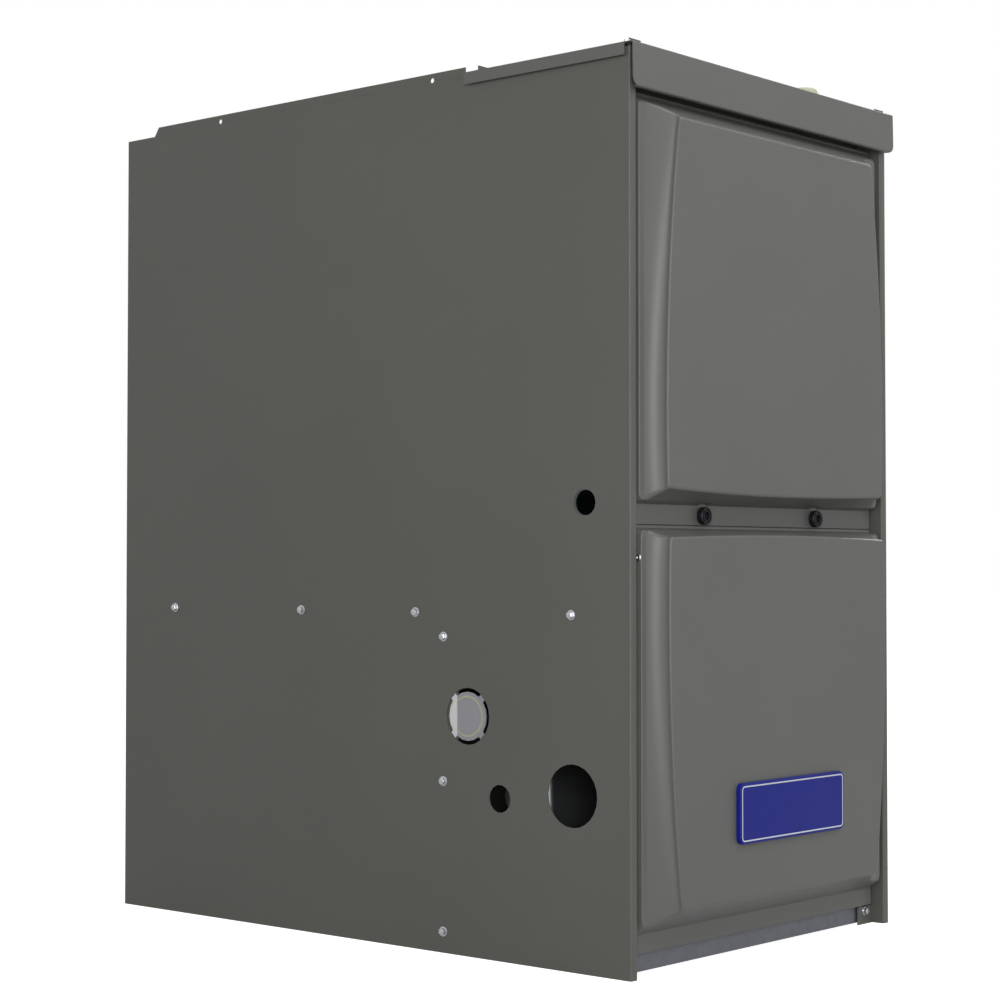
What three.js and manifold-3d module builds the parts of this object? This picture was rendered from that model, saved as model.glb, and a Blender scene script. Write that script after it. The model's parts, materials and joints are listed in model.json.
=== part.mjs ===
// A forced air gas furnace in a sheet metal cabinet: the air enters at the top, a double inlet blower pushes
// it down over the heat exchanger, and it leaves through the base. All lengths are in millimetres, +Z is up.
// X points right, Y points back from the plane of the front flanges, and Z starts at the floor.

import * as THREE from 'three';
import { mergeVertices } from 'three/addons/utils/BufferGeometryUtils.js';
import Module from 'manifold-3d';

const wasm = await Module();
wasm.setup();

// ---------------------------------------------------------------------------------------------------------
// Driving dimensions

const GAP = 0.3; // left between two pieces that touch

const casing = {
  width: 444.5,
  depth: 712.5,
  height: 853.3,
  sheet: 1,
  bend: 1.5, // outside radius of a folded edge
  frontFlange: 10, // width of the flange in the front plane
  seatSetback: 24, // from the front plane to the lip that the doors rest on
  seatLip: 9,
  footTabSetback: 14,
  footTabHeight: 18.5,
  footTabReach: 28, // the tab stands at the foot of the right door seat
};

// Holes in the left side, each by its centre and radius
const wiringHole = { y: 53.5, z: 435.3, radius: 13 };
const gasPipeHole = { y: 157.7, z: 154.3, radius: 13.4 };
const ventHole = { y: 68.5, z: 162.9, radius: 29.5 };
const spareHole = { y: 198.6, z: 231.1, radius: 27.5 };

const cap = {
  length: 201, // front plane to rear edge
  rise: 3.5, // of its top over the casing
  overhang: 4.3, // past each side of the casing
  sideDrop: 11.8,
  sideStart: 3,
  lipProud: 7.3,
  lipHeight: 41.5,
  lipLean: 0.7,
  lipReturn: 5,
  lipCorner: 9,
  rearDrop: 10,
};
const capTab = { start: 168, end: 186, height: 5.8 };

const topFrame = { start: 203.4, setDown: 2, land: 24, frontLand: 22, inset: 0.3 };
const ductFlange = { height: 12, start: 203.4, rearStop: 42.5, taper: 9, cornerStop: 34, holeRadius: 2.6 };
const ductFlangeHoles = { first: 247.5, second: 559.3, height: 5.2 };

const header = { setback: 40, depth: 22, height: 32 };

const basePan = { height: 3.4, front: 17, frontHeight: 15.6, rightInset: 38, tongueOverlap: 1 };
const baseFrame = { rearLand: 20, sideLand: 26, frontLand: 24, upstand: 14 };

const deck = { screwHeight: 330.8, flange: 20, front: 38 };
const panel = { screwSetback: 230.4, flange: 36, floorGap: 0.6 };

const crossbar = { height: 34, depth: 11.5, studHoleRadius: 5.2 };

const doorSplit = {
  height: 414.6,
  gap: 0.8,
  floorGap: 19.6,
  tuck: 1.3,
}; // the upper door tucks behind the lip

const door = {
  sheet: 1.2,
  rimSetback: 11.3,
  sideGap: 5.2, // from the inside of the casing flange to the edge of the door
  hem: 12, // depth of the folded edge
  edgeBend: 2,
  sideWall: 1.6, // from the edge of the rim to the raised panel
  ledgeInset: 6.4, // from the edge of the raised panel to the start of the cove
  faceWall: 3, // straight edge of the face before the cove begins
  faceInset: 19.6, // from the edge of the door to the widest place of the face
  creaseInset: 1,
  rimCorner: 1.5,
};
// Heights on a door are measured from its lower edge, and heads from its upper edge
const upperDoor = {
  bulgeFoot: 19.2,
  bulgeHead: 4,
  faceFoot: 28.8,
  faceHead: 23.2,
  faceProud: 17.3,
  ledgeProud: -2.2,
  sideRadius: 1880, // the sides of the face are arcs
  widestHeight: 105,
  lowArch: 4.5,
  highArch: 0,
  corner: 6,
  faceCorner: 3,
};
const lowerDoor = {
  bulgeFoot: 18.2,
  bulgeHead: 3,
  faceFoot: 40.4,
  faceHead: 8,
  faceProud: 19.6,
  ledgeProud: -0.2,
  sideRadius: 2030,
  widestHeight: 310.4,
  lowArch: 0,
  highArch: 3.4,
  corner: 6,
  faceCorner: 4,
};

const knob = {
  offset: 96.7,
  rise: 9.2,
  radius: 8.5,
  depth: 6.1,
  neck: 0.5,
  neckRadius: 7,
  edge: 0.8,
  relief: 12.5,
};
const knobFace = { grooveOuter: 6.9, grooveInner: 5.7, grooveDepth: 1.3, recess: 4.3, recessDepth: 2.8 };
const knobSlot = { width: 1.6, length: 6.4, depth: 0.8 };
const stud = { radius: 3.6, length: 22, holeClearance: 0.5, inKnob: 2, taper: 3, slot: 1.4, slotDepth: 7 };

const badge = { width: 181.8, height: 58, thickness: 5, corner: 7, centreX: 6.3, rise: 121.4, edge: 1.2 };
const sidePlug = { radius: 23.7, thickness: 1.25, proud: 0.35, ringRadius: 19, tabWidth: 7 };
const topPlug = {
  x: 94.2,
  y: 18,
  radius: 14.8,
  height: 9,
  neckRadius: 12.4,
  neckDepth: 5,
  edge: 3,
  wall: 1.5,
};

const blower = {
  centreZ: 560,
  rearGap: 66, // from the scroll to the rear wall
  width: 232,
  sheet: 1,
  cutoffRadius: 136,
  endRadius: 190,
  inletRadius: 113,
  inletLand: 5,
  inletThroat: 102,
  inletDepth: 12,
  flange: 14,
  outletLand: 2,
  lugInset: 12,
};
const wheel = {
  radius: 127,
  bladeDepth: 15,
  width: 200,
  blades: 28,
  bladeThickness: 1.3,
  ringWidth: 16.5,
  ringThickness: 1.6,
  plateThickness: 2.4,
  plateBite: 2, // how far the plate reaches into the blades
  bladeLean: 0.16, // the angle, in radians, between a blade's two edges
  ringProud: 1,
  hubRadius: 17,
  hubLength: 34,
};
const motor = {
  radius: 68,
  length: 118,
  overlapHub: 24,
  bellInset: 9,
  bellLength: 18,
  noseRadius: 20,
  noseLength: 8,
};
const motorMount = {
  arms: 3,
  width: 22,
  sheet: 2,
  bend: 2.5,
  kneeGap: 7,
  legPast: 8,
  footSetback: 12, // from the inlet to the foot of an arm
  footLength: 12,
  bandSheet: 1.5,
  bandWidth: 14,
  bandStart: 3,
};
const shaft = { radius: 6.35, inMotor: 10, pastHub: 6 };

const tray = { front: 226, width: 330, height: 205, flange: 14, offset: -22 };
const board = { width: 150, height: 118, thickness: 1.6, standoff: 8, offsetX: -100, raise: 62 };
const boardParts = { relayWidth: 28, relayHeight: 22, relayDepth: 16, connectorDepth: 12 };
const transformer = { width: 66, height: 58, depth: 44, offsetX: 66, raise: 26 };
const junctionBox = { depth: 46, length: 64, height: 70, wall: 1.2 };
const doorSwitch = {
  offset: 34,
  width: 30,
  height: 20,
  depth: 24,
  plungerRadius: 4,
  travel: 4,
  stemClearance: 0.5,
};

const lining = { thickness: 10, front: 122, edge: 8, cornerGap: 2.3 };

const burner = {
  count: 4,
  pitch: 52,
  row: 76, // height of the burner row
  centreX: 44,
  start: 112,
  sides: 12,
  throat: 9.5,
  bell: 17,
  head: 16.5,
  wall: 1.1,
  panelGap: 7,
};
const rack = { sheet: 1.2, sideReach: 34, drop: 30, rise: 26, front: 150 };
const manifold = {
  radius: 10,
  y: 84,
  bendRadius: 24,
  spudRadius: 5.5,
  spudLength: 17,
  endReach: 18,
  bracketWidth: 12,
  bracketSheet: 1.5,
  bracketRise: 18,
};
const gasValve = {
  width: 84,
  depth: 56,
  height: 62,
  wallGap: 26,
  bossRadius: 17,
  bossLength: 14,
  dial: 15,
};
const igniter = { baseWidth: 12, baseHeight: 20, baseDepth: 9, panelGap: 30, drop: 4, stubReach: 3 };
const sensor = { radius: 5, length: 11.2, panelGap: 18 };
const rollout = { radius: 10, thickness: 6, earLength: 28, earWidth: 12, earSheet: 1.2, rackPlace: 44 };
const blade = { length: 7, width: 6, thickness: 0.8 };

const collector = { width: 286, bottom: 228, top: 318, depth: 41, wall: 3, corner: 10 };
const inducer = {
  centreX: 58,
  centreZ: 238,
  cutoffRadius: 46,
  endRadius: 66,
  depth: 68,
  wall: 2.4,
  outletReach: 86,
  collarLength: 24,
  inletRadius: 22,
  shaftHole: 8,
};
const inducerWheel = { radius: 41, thickness: 34, blades: 6, disc: 2 };
const inducerMotor = { radius: 40, length: 52, plate: 3 };
const coupling = { radius: 31, wall: 4, length: 52, clampWidth: 9, slip: 0.8 };
const pressureSwitch = { x: -182, z: 262, radius: 29, depth: 26, earLength: 84 };
const hose = { radius: 3, bend: 24, portX: 8, portDrop: 8, portLength: 12, portWall: 0.6, loop: 30 };
const drain = { radius: 5, bend: 42, steps: 4 };
const trap = { wallGap: 4, y: 118, width: 50, depth: 44, height: 104, bottom: 34 };

const tubes = { radius: 19, bendRadius: 42, rearTurn: 612, frontTurn: 330, portInset: 2 };
const coil = { width: 286, bottom: 276, top: 317, fins: 11, finThickness: 14, core: 10, slotInset: 8 };
const rearHeader = { depth: 44, bottom: 214, width: 286, offset: -11, corner: 6 };
const limitSwitch = { x: 190, z: 92, radius: 11, body: 14 };

// ---------------------------------------------------------------------------------------------------------
// Places that follow from the dimensions

const halfWidth = casing.width / 2;
const wallX = halfWidth - casing.sheet; // inside face of a side
const rearY = casing.depth - casing.sheet; // inside face of the back
const deckTop = deck.screwHeight + deck.flange / 2;
const panelY = panel.screwSetback + panel.flange / 2; // rear face of the vestibule panel
const panelFrontY = panelY - casing.sheet;
const topFrameZ = casing.height - topFrame.setDown;
const capTop = casing.height + cap.rise;
const lipBottom = capTop - cap.lipHeight;
const upperDoorFoot = doorSplit.height + doorSplit.gap / 2;
const upperDoorHeight = lipBottom + doorSplit.tuck - upperDoorFoot;
const lowerDoorHeight = doorSplit.height - doorSplit.gap / 2 - doorSplit.floorGap;
const knobZ = upperDoorFoot + knob.rise;
const blowerY = rearY - blower.rearGap - blower.endRadius;
const burnerOffset = (index) => (index - (burner.count - 1) / 2) * burner.pitch;
const burnerX = (index) => burner.centreX + burnerOffset(index);
const frontMost = -(lowerDoor.faceProud + badge.thickness + GAP);

// ---------------------------------------------------------------------------------------------------------
// Solids

const isSolid = (shape) => shape instanceof wasm.Manifold;

// One closed triangle mesh with shared corners, faces pointing out and no flat triangles.
function weld(geometry) {
  geometry.deleteAttribute('normal');
  geometry.deleteAttribute('uv');
  const whole = mergeVertices(geometry, 1e-4);
  const position = whole.attributes.position;
  const corner = (i) => new THREE.Vector3().fromBufferAttribute(position, i);
  const kept = [];
  let volume = 0;
  for (let i = 0; i < whole.index.count; i += 3) {
    const [a, b, c] = [0, 1, 2].map((k) => whole.index.getX(i + k));
    if (a === b || b === c || c === a) continue;
    kept.push(a, b, c);
    volume += corner(a).dot(corner(b).cross(corner(c)));
  }
  if (volume < 0) kept.reverse();
  whole.setIndex(kept);
  return whole;
}

function toSolid(shape) {
  if (isSolid(shape)) return shape;
  const whole = weld(shape);
  const vertProperties = new Float32Array(whole.attributes.position.array);
  const triVerts = new Uint32Array(whole.index.array);
  return new wasm.Manifold(new wasm.Mesh({ numProp: 3, vertProperties, triVerts }));
}

function toGeometry(shape) {
  if (!isSolid(shape)) return weld(shape);
  const mesh = shape.getMesh();
  const geometry = new THREE.BufferGeometry();
  geometry.setAttribute('position', new THREE.BufferAttribute(new Float32Array(mesh.vertProperties), 3));
  geometry.setIndex(new THREE.BufferAttribute(new Uint32Array(mesh.triVerts), 1));
  return geometry;
}

const join = (...shapes) => shapes.map(toSolid).reduce((sum, shape) => sum.add(shape));

function cut(body, ...tools) {
  return tools.map(toSolid).reduce((rest, tool) => rest.subtract(tool), toSolid(body));
}

// ---------------------------------------------------------------------------------------------------------
// Outlines. An outline lies in the plane across its axis: X and Y for z, Y and Z for x, X and Z for y.

const AXES = {
  x: [new THREE.Vector3(0, 1, 0), new THREE.Vector3(0, 0, 1), new THREE.Vector3(1, 0, 0)],
  y: [new THREE.Vector3(1, 0, 0), new THREE.Vector3(0, 0, 1), new THREE.Vector3(0, -1, 0)],
  z: [new THREE.Vector3(1, 0, 0), new THREE.Vector3(0, 1, 0), new THREE.Vector3(0, 0, 1)],
};

const flat = (points) => points.map(([u, v]) => new THREE.Vector2(u, v));

// Outlines run counterclockwise and their holes clockwise.
function outline(points, ...holes) {
  const isClockWise = THREE.ShapeUtils.isClockWise;
  const turned = (loop, clockwise) => (isClockWise(loop) === clockwise ? loop : loop.reverse());
  const shape = new THREE.Shape(turned(flat(points), false));
  shape.holes = holes.map((hole) => new THREE.Path(turned(flat(hole), true)));
  return shape;
}

function prism(shape, axis, from, to) {
  const geometry = new THREE.ExtrudeGeometry(shape, { depth: to - from, bevelEnabled: false });
  geometry.applyMatrix4(new THREE.Matrix4().makeBasis(...AXES[axis]));
  const start = axis === 'y' ? to : from;
  const shift = { x: 0, y: 0, z: 0, [axis]: start };
  return geometry.translate(shift.x, shift.y, shift.z);
}

function circlePoints(u, v, radius, sides, turn = 0) {
  const angle = (i) => turn + (2 * Math.PI * i) / sides;
  return Array.from({ length: sides }, (_, i) =>
    [u + radius * Math.cos(angle(i)), v + radius * Math.sin(angle(i))],
  );
}

function rectanglePoints(u0, u1, v0, v1) {
  return [[u0, v0], [u1, v0], [u1, v1], [u0, v1]];
}

function roundedPoints(u0, u1, v0, v1, radius, steps = 3) {
  const [left, right, low, high] = [u0 + radius, u1 - radius, v0 + radius, v1 - radius];
  const centres = [[right, high], [left, high], [left, low], [right, low]];
  const quarter = Math.PI / 2;
  return centres.flatMap(([u, v], corner) =>
    Array.from({ length: steps + 1 }, (_, i) => {
      const angle = (corner + i / steps) * quarter;
      return [u + radius * Math.cos(angle), v + radius * Math.sin(angle)];
    }),
  );
}

const block = (x0, x1, y0, y1, z0, z1) => prism(outline(rectanglePoints(x0, x1, y0, y1)), 'z', z0, z1);

function rod(axis, u, v, radius, from, to, sides = 16) {
  return prism(outline(circlePoints(u, v, radius, sides)), axis, from, to);
}

function pipe(axis, u, v, radius, bore, from, to, sides = 24) {
  return prism(outline(circlePoints(u, v, radius, sides), circlePoints(u, v, bore, sides)), axis, from, to);
}

// Puts an arc in each corner of a path.
function roundCorners(points, radius, steps) {
  if (radius === 0) return points;
  const result = [points[0]];
  for (let i = 1; i < points.length - 1; i += 1) {
    const before = points[i].clone().sub(points[i - 1]);
    const after = points[i + 1].clone().sub(points[i]);
    const room = Math.min(before.length(), after.length()) * 0.49;
    before.normalize();
    after.normalize();
    const turn = before.angleTo(after);
    if (turn < 1e-6) continue;
    const bend = Math.min(radius, room / Math.tan(turn / 2));
    const start = points[i].clone().addScaledVector(before, -bend * Math.tan(turn / 2));
    const across = after.clone().addScaledVector(before, -before.dot(after)).normalize();
    for (let k = 0; k <= steps; k += 1) {
      const angle = (turn * k) / steps;
      const point = start.clone().addScaledVector(before, bend * Math.sin(angle));
      result.push(point.addScaledVector(across, bend * (1 - Math.cos(angle))));
    }
  }
  result.push(points[points.length - 1]);
  return result;
}

// A path moved to its right by a distance, with mitred corners.
function pathBeside(path, distance) {
  const right = (a, b) => new THREE.Vector2(b[1] - a[1], a[0] - b[0]).normalize();
  const last = path.length - 1;
  return path.map(([u, v], i) => {
    const first = right(path[Math.max(i - 1, 0)], path[Math.max(i, 1)]);
    const second = right(path[Math.min(i, last - 1)], path[Math.min(i + 1, last)]);
    const normal = first.clone().add(second).normalize();
    const reach = distance / normal.dot(first);
    return [u + normal.x * reach, v + normal.y * reach];
  });
}

// The outline of a folded sheet: the path is one face, and the sheet lies to its right.
function foldedSheet(points, thickness, bend = casing.bend, steps = 2) {
  const corners = roundCorners(points.map(([u, v]) => new THREE.Vector3(u, v, 0)), bend, steps);
  const path = corners.map((point) => [point.x, point.y]);
  return outline([...path, ...pathBeside(path, thickness).reverse()]);
}

// A profile of [radius, place along the axis] turned round an axis through (u, v). It is closed where it leaves
// the axis.
function revolve(profile, axis, u, v, segments = 24) {
  const loop = profile[0][0] > 0 ? [...profile, profile[0]] : profile;
  const geometry = new THREE.LatheGeometry(flat(loop), segments);
  if (axis === 'x') geometry.rotateZ(-Math.PI / 2).translate(0, u, v);
  if (axis === 'y') geometry.translate(u, 0, v);
  if (axis === 'z') geometry.rotateX(Math.PI / 2).translate(u, v, 0);
  return geometry;
}

// A path that an extrusion follows station by station.
class Run extends THREE.Curve {
  constructor(stations) {
    super();
    this.stations = stations;
  }

  getPointAt(u) {
    return this.stations[Math.round(u * (this.stations.length - 1))].clone();
  }

  getTangentAt(u) {
    const last = this.stations.length - 1;
    const i = Math.round(u * last);
    const incoming = this.stations[Math.max(i, 1)].clone().sub(
      this.stations[Math.max(i, 1) - 1],
    ).normalize();
    const outgoing = this.stations[Math.min(i, last - 1) + 1].clone().sub(
      this.stations[Math.min(i, last - 1)],
    );
    return incoming.add(outgoing.normalize()).normalize();
  }
}

function bentRod(points, radius, bend, sides = 8, steps = 3) {
  const stations = roundCorners(points.map((p) => new THREE.Vector3(...p)), bend, steps);
  const shape = outline(circlePoints(0, 0, radius, sides));
  return new THREE.ExtrudeGeometry(shape, { steps: stations.length - 1, extrudePath: new Run(stations) });
}

// A skin over rings with equal numbers of points, closed by a flat face at each end.
function loft(rings) {
  const count = rings[0].length;
  const index = [];
  rings.slice(1).forEach((_, level) => {
    for (let i = 0; i < count; i += 1) {
      const a = level * count + i;
      const b = level * count + ((i + 1) % count);
      index.push(a, b, b + count, a, b + count, a + count);
    }
  });
  const lid = (ring) => THREE.ShapeUtils.triangulateShape(ring.map((p) => new THREE.Vector2(p.x, p.z)), []);
  const lastStart = (rings.length - 1) * count;
  lid(rings[0]).forEach(([a, b, c]) => index.push(a, c, b));
  lid(rings[rings.length - 1]).forEach(([a, b, c]) =>
    index.push(lastStart + a, lastStart + b, lastStart + c),
  );
  const geometry = new THREE.BufferGeometry();
  const positions = rings.flat().flatMap((p) => [p.x, p.y, p.z]);
  geometry.setAttribute('position', new THREE.Float32BufferAttribute(positions, 3));
  geometry.setIndex(index);
  return geometry;
}

// ---------------------------------------------------------------------------------------------------------
// Finishes

const FINISHES = {
  casingPaint: { color: 0x5a5b57, roughness: 0.55, metalness: 0.1 },
  doorPaint: { color: 0x6b6c69, roughness: 0.5, metalness: 0.1 },
  galvanised: { color: 0x8a8d90, roughness: 0.45, metalness: 0.8 },
  blackPlastic: { color: 0x1c1d1f, roughness: 0.45, metalness: 0 },
  clearPlastic: { color: 0xc8c8ce, roughness: 0.35, metalness: 0 },
  palePlastic: { color: 0xb9bfa2, roughness: 0.4, metalness: 0 },
  bluePlate: { color: 0x1c2a80, roughness: 0.3, metalness: 0.1 },
  aluminium: { color: 0xa8abad, roughness: 0.4, metalness: 0.9 },
  stainless: { color: 0x9a9a98, roughness: 0.35, metalness: 0.9 },
  steel: { color: 0x77797b, roughness: 0.4, metalness: 0.9 },
  blackSteel: { color: 0x26272a, roughness: 0.5, metalness: 0.4 },
  copperWinding: { color: 0x8a5a3a, roughness: 0.5, metalness: 0.6 },
  circuitBoard: { color: 0x2f5d3a, roughness: 0.5, metalness: 0 },
  ceramic: { color: 0xd9d4c6, roughness: 0.7, metalness: 0 },
  rubber: { color: 0x222222, roughness: 0.8, metalness: 0 },
  foil: { color: 0xb5b8ba, roughness: 0.35, metalness: 0.8 },
};

const furnace = new THREE.Group();
furnace.position.y = -(frontMost + casing.depth) / 2;

// A group of pieces that share an origin, such as an axle or the lower edge of a door.
function assembly(x, y, z) {
  const group = new THREE.Group();
  group.position.set(x, y, z);
  furnace.add(group);
  return group;
}

// A named piece, placed in the furnace or in one of its groups.
function piece(name, finish, shape, group = furnace, place = [0, 0, 0]) {
  const mesh = new THREE.Mesh(toGeometry(shape), new THREE.MeshStandardMaterial(FINISHES[finish]));
  mesh.name = name;
  mesh.position.set(...place);
  group.add(mesh);
}

const ordered = (a, b) => [Math.min(a, b), Math.max(a, b)];

// ---------------------------------------------------------------------------------------------------------
// Cabinet

// One sheet wraps both sides and the back. Its front edges fold in, back and in again to make the door seats.
function cabinetWrapper() {
  const innerEdge = halfWidth - casing.frontFlange;
  const lipEdge = innerEdge - casing.seatLip;
  const rightHalf = [
    [halfWidth, casing.depth],
    [halfWidth, 0],
    [innerEdge, 0],
    [innerEdge, casing.seatSetback],
    [lipEdge, casing.seatSetback],
  ];
  const leftHalf = rightHalf.map(([x, y]) => [-x, y]).reverse();
  const wrapped = prism(foldedSheet([...leftHalf, ...rightHalf], casing.sheet), 'z', 0, casing.height);
  const y = casing.footTabSetback;
  const tabEnd = innerEdge + casing.sheet / 2;
  const tab = block(innerEdge - casing.footTabReach, tabEnd, y, y + casing.sheet, 0, casing.footTabHeight);
  const holes = [wiringHole, gasPipeHole, ventHole, spareHole].map((hole) => {
    const sides = hole.radius > 20 ? 24 : 14;
    return rod('x', hole.y, hole.z, hole.radius, -halfWidth - 1, -wallX + 1, sides);
  });
  return cut(join(wrapped, tab), ...holes);
}

// The cover over the front of the top, with its deep front lip.
function topCap() {
  const { lipProud, lipLean, lipReturn, length, rearDrop } = cap;
  const edge = halfWidth + cap.overhang;
  const lipFoot = -lipProud - lipLean;
  const path = [
    [lipFoot + lipReturn, lipBottom],
    [lipFoot, lipBottom],
    [-lipProud, capTop],
    [length, capTop],
  ];
  const body = prism(foldedSheet(path, casing.sheet), 'x', -edge, edge);
  const inner = wallX - GAP;
  const foot = capTop - casing.sheet / 2;
  const rear = block(-inner, inner, length - casing.sheet, length, capTop - rearDrop, foot);
  const sideDrops = [-1, 1].map((side) => capSide(side, edge));
  const roundings = [-1, 1].map((side) => lipCornerCut(side, edge));
  const plugHole = rod('z', topPlug.x, topPlug.y, topPlug.neckRadius + GAP, capTop - 3, capTop + 1);
  return cut(join(body, rear, ...sideDrops), ...roundings, plugHole);
}

function capSide(side, edge) {
  const x = ordered(side * edge, side * (edge - casing.sheet));
  const bottom = capTop - cap.sideDrop;
  const flange = block(...x, cap.sideStart, cap.length, bottom, capTop - casing.sheet / 2);
  const tabX = ordered(side * (halfWidth - GAP), side * (wallX - GAP));
  const foot = capTop - casing.sheet / 2;
  const crest = capTop + capTab.height;
  const tab = prism(outline([[capTab.start, foot], [capTab.end, foot], [capTab.end, crest]]), 'x', ...tabX);
  return join(flange, tab);
}

function lipCornerCut(side, edge) {
  const radius = cap.lipCorner;
  const centre = [side * (edge - radius), lipBottom + radius];
  const reach = radius + 2;
  const x = [centre[0], centre[0] + side * reach].sort((a, b) => a - b);
  const corner = prism(
    outline(rectanglePoints(...x, lipBottom - 2, centre[1])),
    'y',
    -cap.lipProud - 3,
    cap.sideStart,
  );
  return cut(corner, rod('y', ...centre, radius, -cap.lipProud - 4, cap.sideStart + 1, 32));
}

// The frame round the return air opening, with a turned up duct flange on three sides.
function topOpeningFrame() {
  const x = wallX - topFrame.inset;
  const y0 = topFrame.start;
  const y1 = rearY - topFrame.inset;
  const { land, frontLand } = topFrame;
  const opening = rectanglePoints(-x + land, x - land, y0 + frontLand, y1 - land);
  const ring = outline(rectanglePoints(-x, x, y0, y1), opening);
  const plate = prism(ring, 'z', topFrameZ - casing.sheet, topFrameZ);
  const sides = [-1, 1].map((side) => sideDuctFlange(side, x));
  return join(plate, ...sides, rearDuctFlange(y1));
}

function flangePoints(from, to, taperFrom, taperTo) {
  const foot = topFrameZ - casing.sheet / 2;
  const crest = topFrameZ + ductFlange.height;
  return [[from, foot], [to, foot], [to - taperTo, crest], [from + taperFrom, crest]];
}

function sideDuctFlange(side, edge) {
  const x = ordered(side * edge, side * (edge - casing.sheet));
  const points = flangePoints(ductFlange.start, casing.depth - ductFlange.rearStop, 0, ductFlange.taper);
  const flange = prism(outline(points), 'x', ...x);
  const z = topFrameZ + ductFlangeHoles.height;
  const holes = [ductFlangeHoles.first, ductFlangeHoles.second].map((y) =>
    rod('x', y, z, ductFlange.holeRadius, x[0] - 1, x[1] + 1, 8),
  );
  return cut(flange, ...holes);
}

function rearDuctFlange(rear) {
  const reach = wallX - ductFlange.cornerStop;
  const points = flangePoints(-reach, reach, ductFlange.taper, ductFlange.taper);
  return prism(outline(points), 'y', rear - casing.sheet, rear);
}

// A channel across the top of the door opening that carries the cover.
function frontHeader() {
  const top = capTop - casing.sheet - GAP;
  const x = wallX - GAP;
  const back = header.setback + header.depth;
  const low = top - header.height;
  const path = [[back, low], [header.setback, low], [header.setback, top], [back, top]];
  return prism(foldedSheet(path, casing.sheet), 'x', -x, x);
}

// The galvanised floor of the burner compartment. Its front edge shows under the lower door.
function basePanSheet() {
  const x = wallX - GAP;
  const floor = basePan.height;
  const foot = floor - casing.sheet;
  const left = -(halfWidth - casing.frontFlange - casing.sheet - GAP);
  const right = halfWidth - basePan.rightInset;
  const seatY = casing.seatSetback + casing.sheet + GAP;
  const front = basePan.front;
  const upright = block(left, right, front, front + casing.sheet, foot, floor + basePan.frontHeight);
  const plate = block(-x, x, seatY, panelFrontY - GAP, foot, floor);
  const tongue = block(left + casing.seatLip, right, front, seatY + basePan.tongueOverlap, foot, floor);
  return join(plate, tongue, upright);
}

// The frame round the supply air opening in the base, behind the burner compartment.
function supplyFrame() {
  const x = wallX - GAP;
  const y0 = panelY + GAP;
  const y1 = rearY - GAP;
  const t = casing.sheet;
  const [u0, u1] = [-x + baseFrame.sideLand, x - baseFrame.sideLand];
  const [v0, v1] = [y0 + baseFrame.frontLand, y1 - baseFrame.rearLand];
  const opening = rectanglePoints(u0, u1, v0, v1);
  const plate = outline(rectanglePoints(-x, x, y0, y1), opening);
  const collar = outline(rectanglePoints(u0 - t, u1 + t, v0 - t, v1 + t), opening);
  return join(prism(plate, 'z', 0, t), prism(collar, 'z', t / 2, t + baseFrame.upstand));
}

// The shelf that carries the blower, with its sides folded down.
function blowerDeck() {
  const x = wallX - GAP;
  const foot = deckTop - deck.flange;
  const path = [[-x, foot], [-x, deckTop], [x, deckTop], [x, foot]];
  const shelf = prism(foldedSheet(path, casing.sheet), 'y', deck.front, rearY - GAP);
  const outletX = blower.width / 2 - blower.sheet;
  const outletStart = blowerY - outletFront() + blower.outletLand;
  const outletEnd = blowerY + blower.endRadius - blower.outletLand;
  const outlet = block(-outletX, outletX, outletStart, outletEnd, deckTop - 3, deckTop + 1);
  return cut(shelf, outlet);
}

// The wall between the burners and the heat exchanger, with its sides folded forward.
function vestibulePanel() {
  const x = wallX - GAP;
  const front = panelY - panel.flange;
  const bottom = basePan.height + panel.floorGap;
  const top = deckTop - casing.sheet - GAP;
  const path = [[-x, front], [-x, panelY], [x, panelY], [x, front]];
  const wall = prism(foldedSheet(path, casing.sheet), 'z', bottom, top);
  const flangeTop = deckTop - deck.flange - GAP;
  const reliefs = [-1, 1].map((side) => {
    const ends = ordered(side * (x + 1), side * (x - casing.sheet - GAP));
    return block(...ends, front - 1, panelY + 1, flangeTop, top + 1);
  });
  const portRadius = tubes.radius - tubes.portInset;
  const ports = repeat(burner.count, (i) =>
    rod('y', burnerX(i), burner.row, portRadius, panelFrontY - 1, panelY + 1, burner.sides),
  );
  const slotX = coil.width / 2 - coil.slotInset;
  const [slotLow, slotHigh] = [coil.bottom + coil.slotInset / 2, coil.top - coil.slotInset / 2];
  const coilSlot = block(-slotX, slotX, panelFrontY - 1, panelY + 1, slotLow, slotHigh);
  return cut(wall, ...reliefs, ...ports, coilSlot);
}

function repeat(count, make) {
  return Array.from({ length: count }, (_, i) => make(i));
}

// The channel between the two doors that the upper door's studs go into.
function doorCrossbar() {
  const x = wallX - GAP;
  const front = casing.seatSetback + casing.sheet + GAP;
  const back = front + crossbar.depth;
  const low = knobZ - crossbar.height / 2;
  const high = knobZ + crossbar.height / 2;
  const path = [[back, low], [front, low], [front, high], [back, high]];
  const channel = prism(foldedSheet(path, casing.sheet), 'x', -x, x);
  const holeAt = (hx, radius) => rod('y', hx, knobZ, radius, front - 1, front + casing.sheet + 1, 12);
  const studHoles = [-1, 1].map((side) => holeAt(side * knob.offset, crossbar.studHoleRadius));
  return cut(
    channel,
    ...studHoles,
    holeAt(doorSwitch.offset, doorSwitch.plungerRadius + doorSwitch.stemClearance),
  );
}

// ---------------------------------------------------------------------------------------------------------
// Doors

const doorEdge = halfWidth - casing.frontFlange - door.sideGap;

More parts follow.
